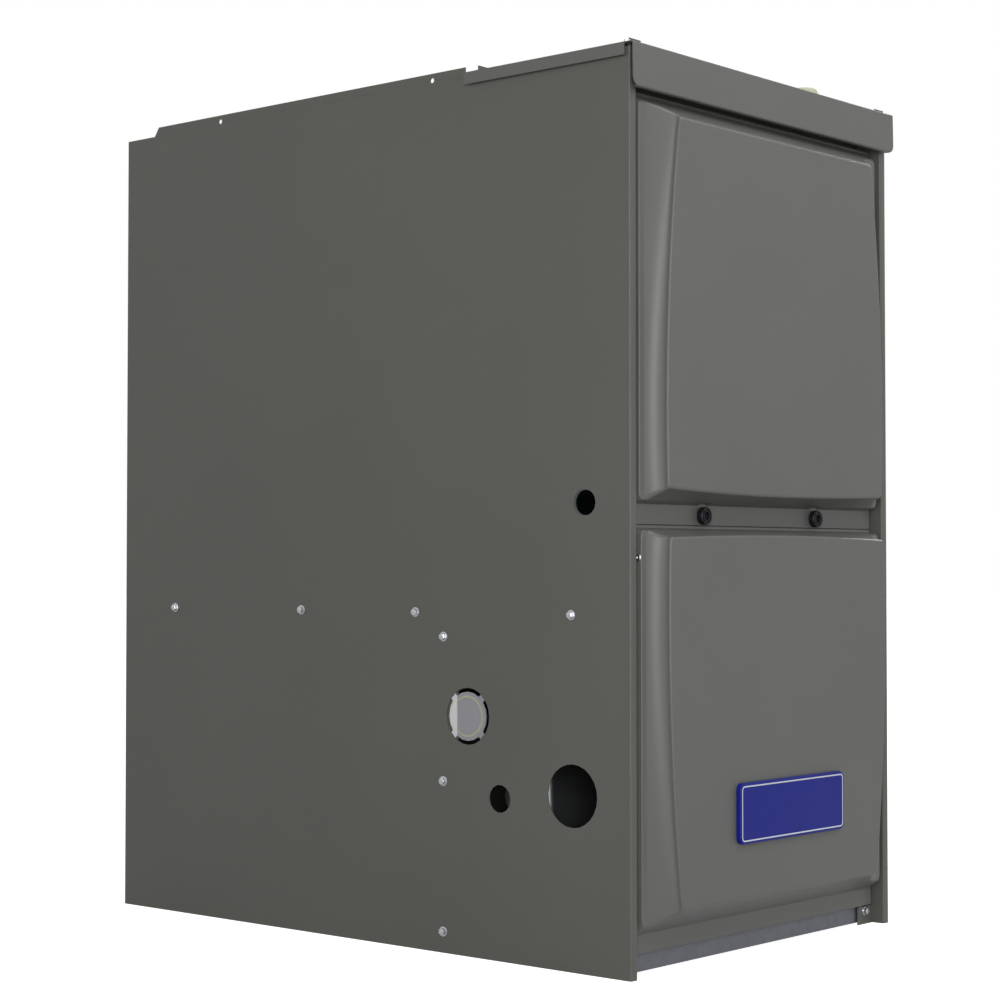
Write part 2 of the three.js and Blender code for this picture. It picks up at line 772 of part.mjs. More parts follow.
// A closed outline at one depth: sides that may bow out, a top and a bottom that may arch, and round corners.
function panelRing({ y, width, low, high, corner, bow = 0, widest = 0, lowArch = 0, highArch = 0 }) {
  const sideSteps = 5;
  const endSteps = 4;
  const cornerSteps = 2;
  const side = (z) => width - bow * (z - widest) ** 2;
  const arch = (x) => (x / width) ** 2;
  const topX = side(high) - corner;
  const lowX = side(low) - corner;
  const topZ = high - highArch * arch(topX) - corner;
  const lowZ = low + lowArch * arch(lowX) + corner;
  const right = repeat(sideSteps - 1, (i) => {
    const z = lowZ + ((topZ - lowZ) * (i + 1)) / sideSteps;
    return [side(z), z];
  });
  const quarter = (cx, cz, from) =>
    repeat(cornerSteps + 1, (i) => {
      const angle = from + (Math.PI / 2) * (i / cornerSteps);
      return [cx + corner * Math.cos(angle), cz + corner * Math.sin(angle)];
    });
  const top = repeat(endSteps - 1, (i) => {
    const x = topX * (1 - (2 * (i + 1)) / endSteps);
    return [x, high - highArch * arch(x)];
  });
  const bottom = repeat(endSteps - 1, (i) => {
    const x = -lowX * (1 - (2 * (i + 1)) / endSteps);
    return [x, low + lowArch * arch(x)];
  });
  const left = right.map(([x, z]) => [-x, z]).reverse();
  const half = Math.PI / 2;
  const loop = [
    ...right,
    ...quarter(topX, topZ, 0),
    ...top,
    ...quarter(-topX, topZ, half),
    ...left,
    ...quarter(-lowX, lowZ, 2 * half),
    ...bottom,
    ...quarter(lowX, lowZ, 3 * half),
  ];
  return loop.map(([x, z]) => new THREE.Vector3(x, y, z));
}

// A pressed door, seen from its lower edge and the plane of its rim: a flat rim with a folded hem, and a raised
// panel whose sides are coves and whose ends slope.
function pressedDoor(spec, height) {
  const faceY = -spec.faceProud - door.rimSetback;
  const ledgeY = -spec.ledgeProud - door.rimSetback;
  const raised = doorEdge - door.sideWall; // half width where the raised panel leaves the rim
  const faceHalf = doorEdge - door.faceInset;
  const coveHalf = raised - door.ledgeInset;
  const span = (y) => {
    const share = y / faceY;
    return {
      low: spec.bulgeFoot + (spec.faceFoot - spec.bulgeFoot) * share,
      high: height - spec.bulgeHead - (spec.faceHead - spec.bulgeHead) * share,
    };
  };
  // share is 0 on the straight edge of the raised panel and 1 on the bowed edge of the face
  const level = (y, width, share, inset = 0) => ({
    y,
    width: width - inset,
    low: span(y).low + inset,
    high: span(y).high - inset,
    corner: spec.corner + (spec.faceCorner - spec.corner) * share,
    bow: share / (2 * spec.sideRadius),
    widest: spec.widestHeight,
    lowArch: spec.lowArch * share,
    highArch: spec.highArch * share,
  });
  const bead = door.edgeBend * 0.7;
  const wallEnd = faceY + door.edgeBend + door.faceWall;
  const coveSteps = 3;
  const cove = repeat(coveSteps, (i) => {
    const angle = (Math.PI / 2) * ((i + 1) / coveSteps);
    const out = 1 - Math.cos(angle);
    const y = wallEnd + (ledgeY - wallEnd) * Math.sin(angle);
    return level(y, faceHalf + (coveHalf - faceHalf) * out, 1 - out);
  });
  const rim = { y: 0, width: doorEdge, low: 0, high: height, corner: door.rimCorner };
  const outside = [
    level(faceY, faceHalf, 1, bead),
    level(faceY + bead, faceHalf, 1),
    level(wallEnd, faceHalf, 1),
    ...cove,
    level(ledgeY, raised - door.creaseInset, 0),
    level(0, raised, 0),
    rim,
    { ...rim, y: door.hem },
  ];
  const t = door.sheet;
  const shrink = (ring, depth) => ({
    ...ring,
    y: ring.y + depth,
    width: ring.width - t,
    low: ring.low + t,
    high: ring.high - t,
    corner: Math.max(ring.corner - t, 0.3),
  });
  const hemBack = shrink(outside[outside.length - 1], 0);
  const inside = [0, 2, 4, 5, 7, 8].map((i) => shrink(outside[i], t)).reverse();
  return loft([...outside, hemBack, ...inside].map(panelRing));
}

// Round the knobs the raised panel gives way, and behind them the studs pass through the rim.
function upperDoorPanel() {
  const front = -door.rimSetback - upperDoor.faceProud - 1;
  const holes = [-1, 1].flatMap((side) => {
    const x = side * knob.offset;
    const relief = rod('y', x, knob.rise, knob.relief, front, -door.sheet / 2, 24);
    return [relief, rod('y', x, knob.rise, stud.radius + stud.holeClearance, front, door.hem, 12)];
  });
  return cut(pressedDoor(upperDoor, upperDoorHeight), ...holes);
}

// The knob has a grooved face, with a slot at the foot of its recess. It is seen from its axis and the rim.
function knobBody() {
  const { radius, neckRadius, edge } = knob;
  const { grooveOuter, grooveInner, grooveDepth, recess, recessDepth } = knobFace;
  const seat = -GAP - knob.neck;
  const front = seat - knob.depth;
  const floor = front + recessDepth;
  const profile = [
    [0, -GAP],
    [neckRadius, -GAP],
    [neckRadius, seat],
    [radius, seat],
    [radius, front + edge],
    [radius - edge, front],
    [grooveOuter, front],
    [grooveOuter, front + grooveDepth],
    [grooveInner, front + grooveDepth],
    [grooveInner, front],
    [recess, front],
    [recess, floor],
    [0, floor],
  ];
  const [w, l] = [knobSlot.width / 2, knobSlot.length / 2];
  const slot = block(-w, w, floor - 0.5, floor + knobSlot.depth, -l, l);
  const socket = rod('y', 0, 0, stud.radius + GAP, -stud.inKnob - knob.neck, 1, 12);
  return cut(revolve(profile, 'y', 0, 0, 12), slot, socket);
}

// The quarter turn stud: a shank with a slotted, rounded end.
function knobStud() {
  const start = GAP - knob.neck - stud.inKnob;
  const end = start + stud.length;
  const r = stud.radius;
  const shank = revolve(
    [[0, start], [r, start], [r, end - stud.taper], [r * 0.6, end], [0, end]],
    'y',
    0,
    0,
    12,
  );
  const half = stud.slot / 2;
  return cut(shank, block(-half, half, end - stud.slotDepth, end + 1, -r - 1, r + 1));
}

// The badge is seen from its middle and the door's rim.
function blankBadge() {
  const w = badge.width / 2;
  const h = badge.height / 2;
  const back = -door.rimSetback - lowerDoor.faceProud - GAP;
  const front = back - badge.thickness;
  const ring = (inset, y) => {
    const points = roundedPoints(-w + inset, w - inset, -h + inset, h - inset, badge.corner - inset);
    return points.map(([x, z]) => new THREE.Vector3(x, y, z));
  };
  return loft([ring(badge.edge, front), ring(0, front + badge.edge), ring(0, back)]);
}

// A thin disc with a moulded ring, held in its hole by four tabs.
function sideHolePlug() {
  const { y, z, radius } = spareHole;
  const outer = -halfWidth - sidePlug.proud;
  const inner = outer + sidePlug.thickness;
  const disc = rod('x', y, z, sidePlug.radius, outer, inner, 20);
  const ring = pipe(
    'x',
    y,
    z,
    sidePlug.ringRadius + 1,
    sidePlug.ringRadius - 1,
    outer - 0.5,
    inner - 0.2,
    20,
  );
  const moulding = block(outer - 0.4, inner - 0.2, y - 7, y + 7, z - 4, z + 4);
  const tabs = repeat(4, (i) => {
    const half = sidePlug.tabWidth / 2;
    const reach = Math.sqrt((radius - 2 * GAP) ** 2 - half ** 2);
    const start = sidePlug.radius - 2;
    const tab = block(outer + 0.3, inner - 0.1, start, reach, -half, half);
    return tab.rotateX(Math.PI / 4 + (i * Math.PI) / 2).translate(0, y, z);
  });
  return join(disc, ring, moulding, ...tabs);
}

// A low round cap over its neck, seen from the top of the cover.
function topHolePlug() {
  const { radius, height, neckRadius, neckDepth, edge, wall } = topPlug;
  const crest = GAP + height;
  const profile = [
    [0, crest],
    [radius - edge, crest],
    [radius - edge * 0.3, crest - edge * 0.3],
    [radius, crest - edge],
    [radius, GAP],
    [neckRadius, GAP],
    [neckRadius, -neckDepth],
    [neckRadius - wall, -neckDepth],
    [neckRadius - wall, crest - wall],
    [0, crest - wall],
  ];
  return revolve(profile, 'z', 0, 0, 14);
}

// ---------------------------------------------------------------------------------------------------------
// Blower. Its pieces are seen from the middle of the wheel's axis.

// The wall of a scroll: a spiral whose radius grows from the cutoff to the outlet, then runs straight out.
function scrollPath({ u, v, cutoffRadius, endRadius, from, to, reach, steps }) {
  const spiral = repeat(steps + 1, (i) => {
    const share = i / steps;
    const angle = from + (to - from) * share;
    const radius = cutoffRadius + (endRadius - cutoffRadius) * share;
    return [u + radius * Math.cos(angle), v + radius * Math.sin(angle)];
  });
  const turn = Math.sign(to - from);
  const exit = [-Math.sin(to) * turn, Math.cos(to) * turn];
  const last = spiral[steps];
  const first = spiral[0];
  const ahead = (last[0] - first[0]) * exit[0] + (last[1] - first[1]) * exit[1] + reach;
  const along = (point, length) => [point[0] + exit[0] * length, point[1] + exit[1] * length];
  return [along(first, ahead), ...spiral, along(last, reach)];
}

const blowerCutoffAngle = THREE.MathUtils.degToRad(262);

// How far the front of the outlet lies behind the axis, towards the front
function outletFront() {
  return -blower.cutoffRadius * Math.cos(blowerCutoffAngle);
}

// A hollow scroll with a flat plate at each end. The inside runs past the outlet's end, or stops short of it.
function hollowScroll(spec, axis, from, to, wall, past) {
  const side = -Math.sign(spec.to - spec.from) * wall;
  const inside = pathBeside(scrollPath({ ...spec, reach: spec.reach + past }), side);
  return cut(
    prism(outline(scrollPath(spec)), axis, from, to),
    prism(outline(inside), axis, from + wall, to - wall),
  );
}

function blowerHousing() {
  const foot = deckTop + GAP - blower.centreZ;
  const half = blower.width / 2;
  const spec = {
    u: 0,
    v: 0,
    cutoffRadius: blower.cutoffRadius,
    endRadius: blower.endRadius,
    from: blowerCutoffAngle,
    to: 0,
    reach: -foot,
    steps: 12,
  };
  const shell = hollowScroll(spec, 'x', -half, half, blower.sheet, 5);
  const eye = rod('x', 0, 0, blower.inletRadius, -half - 1, half + 1, 20);
  const rings = [-1, 1].map((side) => inletRing(side, half));
  const lugs = [-1, 1].map((side) => blowerLug(side, half, foot));
  return join(cut(shell, eye), ...rings, ...lugs);
}

function blowerLug(side, half, foot) {
  const x = ordered(side * (half - blower.sheet / 2), side * (half + blower.flange));
  const [start, end] = [-outletFront() + blower.lugInset, blower.endRadius - blower.lugInset];
  return block(...x, start, end, foot, foot + blower.sheet);
}

// The rolled ring that leads the air into the wheel.
function inletRing(side, half) {
  const outer = blower.inletRadius + blower.inletLand;
  const shoulder = blower.inletRadius - blower.inletLand;
  const throat = blower.inletThroat;
  const t = blower.sheet;
  const low = half - t / 2;
  const deep = half - blower.inletDepth;
  const profile = [
    [outer, low],
    [shoulder, low],
    [throat, deep],
    [throat - t, deep],
    [shoulder - t, low + t],
    [outer, low + t],
  ];
  return revolve(profile.map(([r, x]) => [r, side * x]), 'x', 0, 0, 20);
}

// Forward curved blades between two end rings, carried by a plate on the hub.
function blowerWheel() {
  const half = wheel.width / 2;
  const blades = repeat(wheel.blades, (i) => wheelBlade((2 * Math.PI * i) / wheel.blades));
  const ringTop = wheel.radius + wheel.ringProud;
  const rings = [-1, 1].map((side) => {
    const x = ordered(side * half, side * (half - wheel.ringThickness));
    return pipe('x', 0, 0, ringTop, ringTop - wheel.ringWidth, ...x, wheel.blades);
  });
  const plateHalf = wheel.plateThickness / 2;
  const bore = shaft.radius + GAP;
  const plateRadius = wheel.radius - wheel.bladeDepth + wheel.plateBite;
  const plate = pipe('x', 0, 0, plateRadius, bore, -plateHalf, plateHalf, wheel.blades);
  const hub = pipe('x', 0, 0, wheel.hubRadius, bore, -wheel.hubLength / 2, wheel.hubLength / 2, 12);
  return join(...blades, ...rings, plate, hub);
}

function wheelBlade(angle) {
  const steps = 2;
  const inner = wheel.radius - wheel.bladeDepth;
  const line = repeat(steps + 1, (i) => {
    const share = i / steps;
    const radius = inner + wheel.bladeDepth * share;
    const swing = angle + wheel.bladeLean * Math.sin((share * Math.PI) / 2) ** 2;
    return [radius * Math.cos(swing), radius * Math.sin(swing)];
  });
  const half = wheel.width / 2;
  const end = half - wheel.ringThickness / 2;
  return prism(foldedSheet(line, wheel.bladeThickness, 0), 'x', -end, end);
}

function blowerMotor() {
  const { radius, length, bellInset, bellLength, noseRadius, noseLength } = motor;
  const front = -motor.overlapHub;
  const shell = front - noseLength;
  const back = shell - length;
  const bore = shaft.radius + GAP;
  const profile = [
    [0, back],
    [radius - bellInset, back],
    [radius, back + bellLength],
    [radius, shell - bellLength],
    [radius - bellInset, shell],
    [noseRadius, shell],
    [noseRadius, front],
    [bore, front],
    [bore, front - shaft.inMotor - GAP],
    [0, front - shaft.inMotor - GAP],
  ];
  return revolve(profile, 'x', 0, 0, 24);
}

function blowerShaft() {
  const start = -motor.overlapHub - shaft.inMotor;
  const end = wheel.hubLength / 2 + shaft.pastHub;
  const r = shaft.radius;
  return revolve([[0, start], [r, start], [r, end - 1], [r - 1, end], [0, end]], 'x', 0, 0, 14);
}

// Three bent arms carry the motor from the side plate, and a band holds them against it.
function motorMountArms() {
  const leg = motor.radius + GAP;
  const plate = -blower.width / 2 - GAP - motorMount.sheet;
  const knee = plate - motorMount.kneeGap;
  const legEnd = knee - motorMount.bandWidth - motorMount.legPast;
  const crest = leg + motorMount.sheet;
  const reach = blower.inletRadius + motorMount.footSetback;
  const path = [
    [legEnd, crest],
    [knee, crest],
    [knee, reach],
    [plate, reach],
    [plate, reach + motorMount.footLength],
  ];
  const shape = foldedSheet(path, motorMount.sheet, motorMount.bend, 1);
  const half = motorMount.width / 2;
  const arms = repeat(motorMount.arms, (i) => {
    const arm = prism(shape, 'y', -half, half);
    return arm.rotateX(Math.PI / 2 + (i * 2 * Math.PI) / motorMount.arms);
  });
  const bandInner = leg + motorMount.sheet - 0.2;
  const bandStart = legEnd + motorMount.bandStart;
  const bandOuter = bandInner + motorMount.bandSheet;
  const band = pipe('x', 0, 0, bandOuter, bandInner, bandStart, bandStart + motorMount.bandWidth, 18);
  return join(...arms, band);
}

// ---------------------------------------------------------------------------------------------------------
// Controls

function controlTray() {
  const x0 = tray.offset - tray.width / 2;
  const x1 = tray.offset + tray.width / 2;
  const bottom = deckTop + GAP;
  const top = bottom + tray.height;
  const back = tray.front + tray.flange;
  return prism(
    foldedSheet(
      [[back, top], [tray.front, top], [tray.front, bottom], [back, bottom]].reverse(),
      casing.sheet,
    ),
    'x',
    x0,
    x1,
  );
}

function controlBoard() {
  const back = tray.front - board.standoff;
  const front = back - board.thickness;
  const x0 = board.offsetX - board.width / 2;
  const z0 = deckTop + board.raise;
  const plate = prism(
    outline(roundedPoints(x0, x0 + board.width, z0, z0 + board.height, 3, 2)),
    'y',
    front,
    back,
  );
  const { relayWidth, relayHeight, relayDepth, connectorDepth } = boardParts;
  const relays = repeat(3, (i) => {
    const x = x0 + 12 + i * (relayWidth + 8);
    return block(
      x,
      x + relayWidth,
      front - relayDepth,
      front + 0.5,
      z0 + board.height - relayHeight - 12,
      z0 + board.height - 12,
    );
  });
  const terminals = repeat(5, (i) =>
    block(x0 + 14 + i * 12, x0 + 22 + i * 12, front - connectorDepth, front + 0.5, z0 + 8, z0 + 18),
  );
  const connector = block(
    x0 + board.width - 44,
    x0 + board.width - 12,
    front - connectorDepth,
    front + 0.5,
    z0 + 34,
    z0 + 50,
  );
  const feet = [
    [8, 8],
    [board.width - 8, 8],
    [8, board.height - 8],
    [board.width - 8, board.height - 8],
  ].map(([u, w]) => rod('y', x0 + u, z0 + w, 3, back - 0.5, tray.front - GAP, 8));
  return join(plate, ...relays, ...terminals, connector, ...feet);
}

function transformerBody() {
  const x = transformer.offsetX;
  const z0 = deckTop + transformer.raise;
  const back = tray.front - GAP;
  const front = back - transformer.depth;
  const half = transformer.width / 2;
  const core = block(x - half * 0.62, x + half * 0.62, front, back - 2, z0, z0 + transformer.height);
  const winding = prism(
    outline(roundedPoints(x - half * 0.92, x + half * 0.92, z0 + 12, z0 + transformer.height - 12, 7)),
    'y',
    front + 6,
    back - 8,
  );
  const strap = block(x - half, x + half, back - 2.5, back, z0 + 8, z0 + transformer.height - 8);
  return join(core, winding, strap);
}

// An open box on the side wall behind the wiring hole.
function junctionBoxShell() {
  const outer = -wallX + GAP;
  const y0 = casing.seatSetback + casing.sheet + crossbar.depth + 3;
  const z0 = wiringHole.z - junctionBox.height / 2;
  const box = block(
    outer,
    outer + junctionBox.depth,
    y0,
    y0 + junctionBox.length,
    z0,
    z0 + junctionBox.height,
  );
  const w = junctionBox.wall;
  const room = block(
    outer + w,
    outer + junctionBox.depth + 1,
    y0 + w,
    y0 + junctionBox.length - w,
    z0 + w,
    z0 + junctionBox.height - w,
  );
  return cut(
    box,
    room,
    rod('x', wiringHole.y, wiringHole.z, wiringHole.radius - 1, outer - 1, outer + w + 1, 20),
  );
}

function doorSwitchBody() {
  const x = doorSwitch.offset;
  const front = casing.seatSetback + 2 * casing.sheet + 2 * GAP;
  const z = knobZ;
  const w = doorSwitch.width / 2;
  const h = doorSwitch.height / 2;
  const body = prism(
    outline(roundedPoints(x - w, x + w, z - h, z + h, 3, 2)),
    'y',
    front,
    front + doorSwitch.depth,
  );
  const bore = rod(
    'y',
    x,
    z,
    doorSwitch.plungerRadius + doorSwitch.stemClearance,
    front - 1,
    front + doorSwitch.travel + 8,
    16,
  );
  const back = front + doorSwitch.depth;
  const blades = [-7, 7].map((dx) => terminalBlade('y', [back - 0.5, back + blade.length], x + dx, z));
  return cut(join(body, ...blades), bore);
}

function doorSwitchPlunger() {
  const tip = door.rimSetback + door.sheet + GAP;
  const end = casing.seatSetback + 2 * casing.sheet + 2 * GAP + 6;
  const r = doorSwitch.plungerRadius;
  return revolve(
    [[0, tip], [r - 1.4, tip], [r, tip + 1.6], [r, end], [0, end]],
    'y',
    doorSwitch.offset,
    knobZ,
    16,
  );
}

// ---------------------------------------------------------------------------------------------------------
// Foil faced lining of the blower compartment

const liningLow = deckTop + GAP + lining.edge;
const liningHigh = topFrameZ - casing.sheet - lining.edge;
const liningBack = rearY - GAP;

function liningSide(side) {
  const x = ordered(0, -side * lining.thickness);
  return block(...x, lining.front, liningBack - lining.thickness - lining.cornerGap, liningLow, liningHigh);
}

function liningRear() {
  const x = wallX - GAP - lining.thickness - lining.cornerGap;
  return block(-x, x, liningBack - lining.thickness, liningBack, liningLow, liningHigh);
}

// ---------------------------------------------------------------------------------------------------------
// Burners and gas train

// An open ended burner: a bell at the jet, a throat, and a wider flame head.
function burnerTube() {
  const end = panelFrontY - burner.panelGap;
  const { start, throat, bell, head, wall } = burner;
  const line = [
    [bell, start],
    [throat, start + 22],
    [throat, rack.front + 6],
    [head, end - 18],
    [head, end],
  ];
  const inside = line.map(([r, y]) => [r - wall, y]).reverse();
  return revolve([...line, ...inside], 'y', 0, 0, burner.sides);
}

// The rack that holds the burners in front of the tube ports.
function burnerRack() {
  const first = burnerX(0);
  const last = burnerX(burner.count - 1);
  const x0 = first - rack.sideReach;
  const x1 = last + rack.sideReach;
  const low = burner.row - rack.drop;
  const high = burner.row + rack.rise;
  const back = panelFrontY - GAP;
  const trough = prism(
    foldedSheet([[x1, high], [x1, low], [x0, low], [x0, high]], rack.sheet),
    'y',
    rack.front,
    back,
  );
  const face = prism(
    outline(rectanglePoints(x0 + 0.5, x1 - 0.5, low + 0.5, high)),
    'y',
    rack.front,
    rack.front + rack.sheet,
  );
  const holes = repeat(burner.count, (i) =>
    rod(
      'y',
      burnerX(i),
      burner.row,
      burner.throat + GAP,
      rack.front - 1,
      rack.front + rack.sheet + 1,
      burner.sides,
    ),
  );
  return cut(join(trough, face), ...holes);
}

const valvePlace = {
  x0: -wallX + gasValve.wallGap + gasValve.bossLength,
  y: gasPipeHole.y,
  z: gasPipeHole.z,
};

// The valve body, with its inlet facing the gas pipe hole and its outlet facing the burners.
function gasValveBody() {
  const { x0, y, z } = valvePlace;
  const x1 = x0 + gasValve.width;
  const d = gasValve.depth / 2;
  const h = gasValve.height / 2;
  const casting = prism(outline(roundedPoints(x0, x1, y - d, y + d, 8, 2)), 'z', z - h, z + h - 14);
  const cover = prism(
    outline(roundedPoints(x0 + 5, x1 - 5, y - d + 4, y + d - 4, 6, 2)),
    'z',
    z + h - 16,
    z + h,
  );
  const inlet = pipe('x', y, z, gasValve.bossRadius, manifold.radius, x0 - gasValve.bossLength, x0 + 6, 12);
  const outlet = rod('x', y, z, gasValve.bossRadius, x1 - 2, x1 + gasValve.bossLength, 12);
  const socket = rod('x', y, z, manifold.radius + 2 * GAP, x1 + 2, x1 + gasValve.bossLength + 1, 16);
  const solenoid = rod('z', x1 - 22, y, 11, z - h - 16, z - h + 2, 12);
  const inletBore = rod('x', y, z, manifold.radius, x0 - gasValve.bossLength - 1, x0 + 8, 12);
  return cut(join(casting, cover, inlet, outlet, solenoid), socket, inletBore);
}

function gasValveDial() {
  const { x0, y, z } = valvePlace;
  const x = x0 + 26;
  const base = z + gasValve.height / 2 + GAP;
  const r = gasValve.dial;
  const skirt = revolve(
    [[0, base], [r, base], [r, base + 4], [r - 3, base + 9], [0, base + 9]],
    'z',
    x,
    y,
    24,
  );
  const grip = block(x - 2, x + 2, y - r + 4, y + r - 4, base + 8, base + 15);
  return join(skirt, grip);
}

// One pipe runs from the valve, forward and down, and along the burner row, with a jet for each burner.
function gasManifold() {
  const { x0, y, z } = valvePlace;
  const start = x0 + gasValve.width + 2 + GAP;
  const turnX = start + gasValve.bossLength + manifold.bendRadius + 4;
  const end = burnerX(burner.count - 1) + manifold.endReach;
  const route = [
    [start, y, z],
    [turnX, y, z],
    [turnX, manifold.y, z],
    [turnX, manifold.y, burner.row],
    [end, manifold.y, burner.row],
  ];
  const main = bentRod(route, manifold.radius, manifold.bendRadius);
  const jets = repeat(burner.count, (i) =>
    rod(
      'y',
      burnerX(i),
      burner.row,
      manifold.spudRadius,
      manifold.y,
      manifold.y + manifold.radius + manifold.spudLength,
      6,
    ),
  );
  const brackets = [0.5, burner.count - 1.5].map((i) => manifoldBracket(burnerX(i)));
  return join(main, ...jets, ...brackets);
}

function manifoldBracket(x) {
  const { bracketWidth, bracketSheet, bracketRise } = manifold;
  const low = burner.row + manifold.radius / 2;
  const back = rack.front - GAP;
  const arm = block(x - bracketWidth / 2, x + bracketWidth / 2, manifold.y, back, low, low + bracketSheet);
  const foot = block(
    x - bracketWidth / 2,
    x + bracketWidth / 2,
    back - bracketSheet,
    back,
    low,
    low + bracketRise,
  );
  return join(arm, foot);
}

function igniterAssembly() {
  const x = burnerX(0) - rack.sideReach + rack.sheet + GAP;
  const y = panelFrontY - igniter.panelGap;
  const z = burner.row - igniter.drop;
  const half = igniter.baseWidth / 2;
  const tip = x + igniter.baseDepth;
  const middle = y + igniter.baseHeight / 2;
  const base = block(x, tip, y, y + igniter.baseHeight, z - half, z + half);
  const stub = block(
    tip - 1,
    tip + igniter.stubReach,
    middle - half * 0.6,
    middle + half * 0.6,
    z - 2,
    z + 2,
  );
  return join(base, stub);
}

function flameSensor() {
  const x = burnerX(burner.count - 1) + rack.sideReach - rack.sheet - GAP;
  return rod('x', panelFrontY - sensor.panelGap, burner.row, sensor.radius, x - sensor.length, x, 12);
}

// A flat push-on terminal that stands out along an axis, at a place across it.
function terminalBlade(axis, ends, u, v) {
  const [across, width] = [blade.thickness / 2, blade.width / 2];
  const shape = outline(rectanglePoints(u - across, u + across, v - width, v + width));
  return prism(shape, axis, ...ends);
}

// A round thermal switch on a flat bracket, fixed to the side of the burner rack and seen from there.
function rolloutSwitch(side) {
  const { thickness, earLength, earWidth, earSheet } = rollout;
  const ends = (from, to) => ordered(side * from, side * to);
  const [half, rise] = [earLength / 2, earWidth / 2];
  const bracket = block(...ends(0, earSheet), -half, half, -rise, rise);
  const can = rod('x', 0, 0, rollout.radius, ...ends(earSheet / 2, thickness), 14);
  const blades = [-4, 4].map((y) =>
    terminalBlade('x', ends(thickness - 0.5, thickness + blade.length), y, 0),
  );
  return join(bracket, can, ...blades);
}

// ---------------------------------------------------------------------------------------------------------
// Venting and drain. The inducer's pieces are seen from its axis.

const collectorFront = panelFrontY - GAP - collector.depth;

// The shallow plastic tray that gathers the flue gas in front of the coil.
function collectorBox() {
  const half = collector.width / 2;
  const { wall } = collector;
  const back = panelFrontY - GAP;
  const body = prism(
    outline(roundedPoints(-half, half, collector.bottom, collector.top, collector.corner)),
    'y',
    collectorFront,
    back,
  );
  const room = prism(
    outline(
      roundedPoints(
        -half + wall,
        half - wall,
        collector.bottom + wall,
        collector.top - wall,
        collector.corner - wall,
      ),
    ),
    'y',
    collectorFront + wall,
    back + 1,
  );
  const port = rod(
    'y',
    inducer.centreX,
    inducerEye,
    inducer.inletRadius,
    collectorFront - 1,
    collectorFront + wall + 1,
    24,
  );
  return cut(body, room, port);
}

const inducerEye = Math.max(inducer.centreZ, collector.bottom + inducer.inletRadius + 4);
const inducerBack = collectorFront - GAP;
const inducerFront = inducerBack - inducer.depth;

const inducerScroll = {
  u: 0,
  v: 0,
  cutoffRadius: inducer.cutoffRadius,
  endRadius: inducer.endRadius,
  from: THREE.MathUtils.degToRad(150),
  to: THREE.MathUtils.degToRad(450),
  reach: inducer.outletReach,
  steps: 10,
};
const outletX = -inducer.outletReach;
const outletY = (inducerFront + inducerBack) / 2;

function outletCentreZ() {
  const path = scrollPath(inducerScroll);
  return (path[0][1] + path[path.length - 1][1]) / 2;
}

// A plastic scroll, closed at the front and at the back round the eye, with a round outlet collar.
function inducerHousing() {
  const w = inducer.wall;
  const z = outletCentreZ();
  const shell = hollowScroll(inducerScroll, 'y', inducerFront, inducerBack, w, -w);
  const shaftHole = rod('y', 0, 0, inducer.shaftHole, inducerFront - 1, inducerFront + w + 1, 12);
  const eye = rod('y', 0, 0, inducer.inletRadius, inducerBack - w - 1, inducerBack + 1);
  const collarRadius = coupling.radius - coupling.wall - coupling.slip;
  const collar = rod('x', outletY, z, collarRadius, outletX - inducer.collarLength, outletX + w / 2);
  const bore = rod('x', outletY, z, collarRadius - w, outletX - inducer.collarLength - 1, outletX + w + 1);
  return cut(join(shell, collar), shaftHole, eye, bore);
}

function inducerImpeller() {
  const { radius, thickness, blades, disc } = inducerWheel;
  const front = inducerFront + inducer.wall + 6;
  const back = front + thickness;
  const plate = rod('y', 0, 0, radius, front, front + disc);
  const hub = rod('y', 0, 0, inducer.shaftHole - 1, inducerFront - 1, back - 6, 12);
  const vanes = repeat(blades, (i) => {
    const vane = block(12, radius, front + disc / 2, back, -0.8, 0.8);
    return vane.rotateY((2 * Math.PI * i) / blades);
  });
  return join(plate, hub, ...vanes);
}

function inducerMotorBody() {
  const { radius, length, plate } = inducerMotor;
  const back = inducerFront - GAP;
  const front = back - length;
  const profile = [
    [0, front],
    [radius - 12, front],
    [radius - 8, front + 6],
    [radius - 8, front + 14],
    [radius, front + 16],
    [radius, back - 12],
    [radius - 8, back - 10],
    [radius - 6, back - plate],
    [radius + 4, back - plate],
    [radius + 4, back],
    [8, back],
    [8, back - 6],
    [0, back - 6],
  ];
  return revolve(profile, 'y', 0, 0, 14);
}

// A rubber sleeve on the outlet, with two raised clamps.
function ventCoupling() {
  const { radius, wall, length, clampWidth } = coupling;
  const end = outletX - GAP;
  const start = end - length;
  const bump = radius + 2;
  const band = (from) => [
    [radius, from],
    [bump, from],
    [bump, from + clampWidth],
    [radius, from + clampWidth],
  ];
  const clamps = [...band(start + 6), ...band(end - 6 - clampWidth)];
  const profile = [[radius, start], ...clamps, [radius, end], [radius - wall, end], [radius - wall, start]];
  return revolve(profile, 'x', outletY, outletCentreZ(), 16);
}

function pressureSwitchBody() {
  const { x, z, radius, depth, earLength } = pressureSwitch;
  const back = panelFrontY - GAP;
  const bracket = prism(
    outline(rectanglePoints(x - 13, x + 13, z - earLength / 2, z + earLength / 2)),
    'y',
    back - 1.5,
    back,
  );
  const front = back - depth;
  const can = revolve(
    [
      [0, front],
      [radius - 9, front],
      [radius - 7, front + 7],
      [radius, front + 9],
      [radius, front + 16],
      [radius - 6, front + 18],
      [radius - 6, back - 1],
      [0, back - 1],
    ],
    'y',
    x,
    z,
    16,
  );
  const portRadius = hose.radius - hose.portWall;
  const port = rod(
    'y',
    x + hose.portX,
    z - hose.portDrop,
    portRadius,
    front - hose.portLength,
    front + 1,
    8,
  );
  return join(bracket, can, port);
}

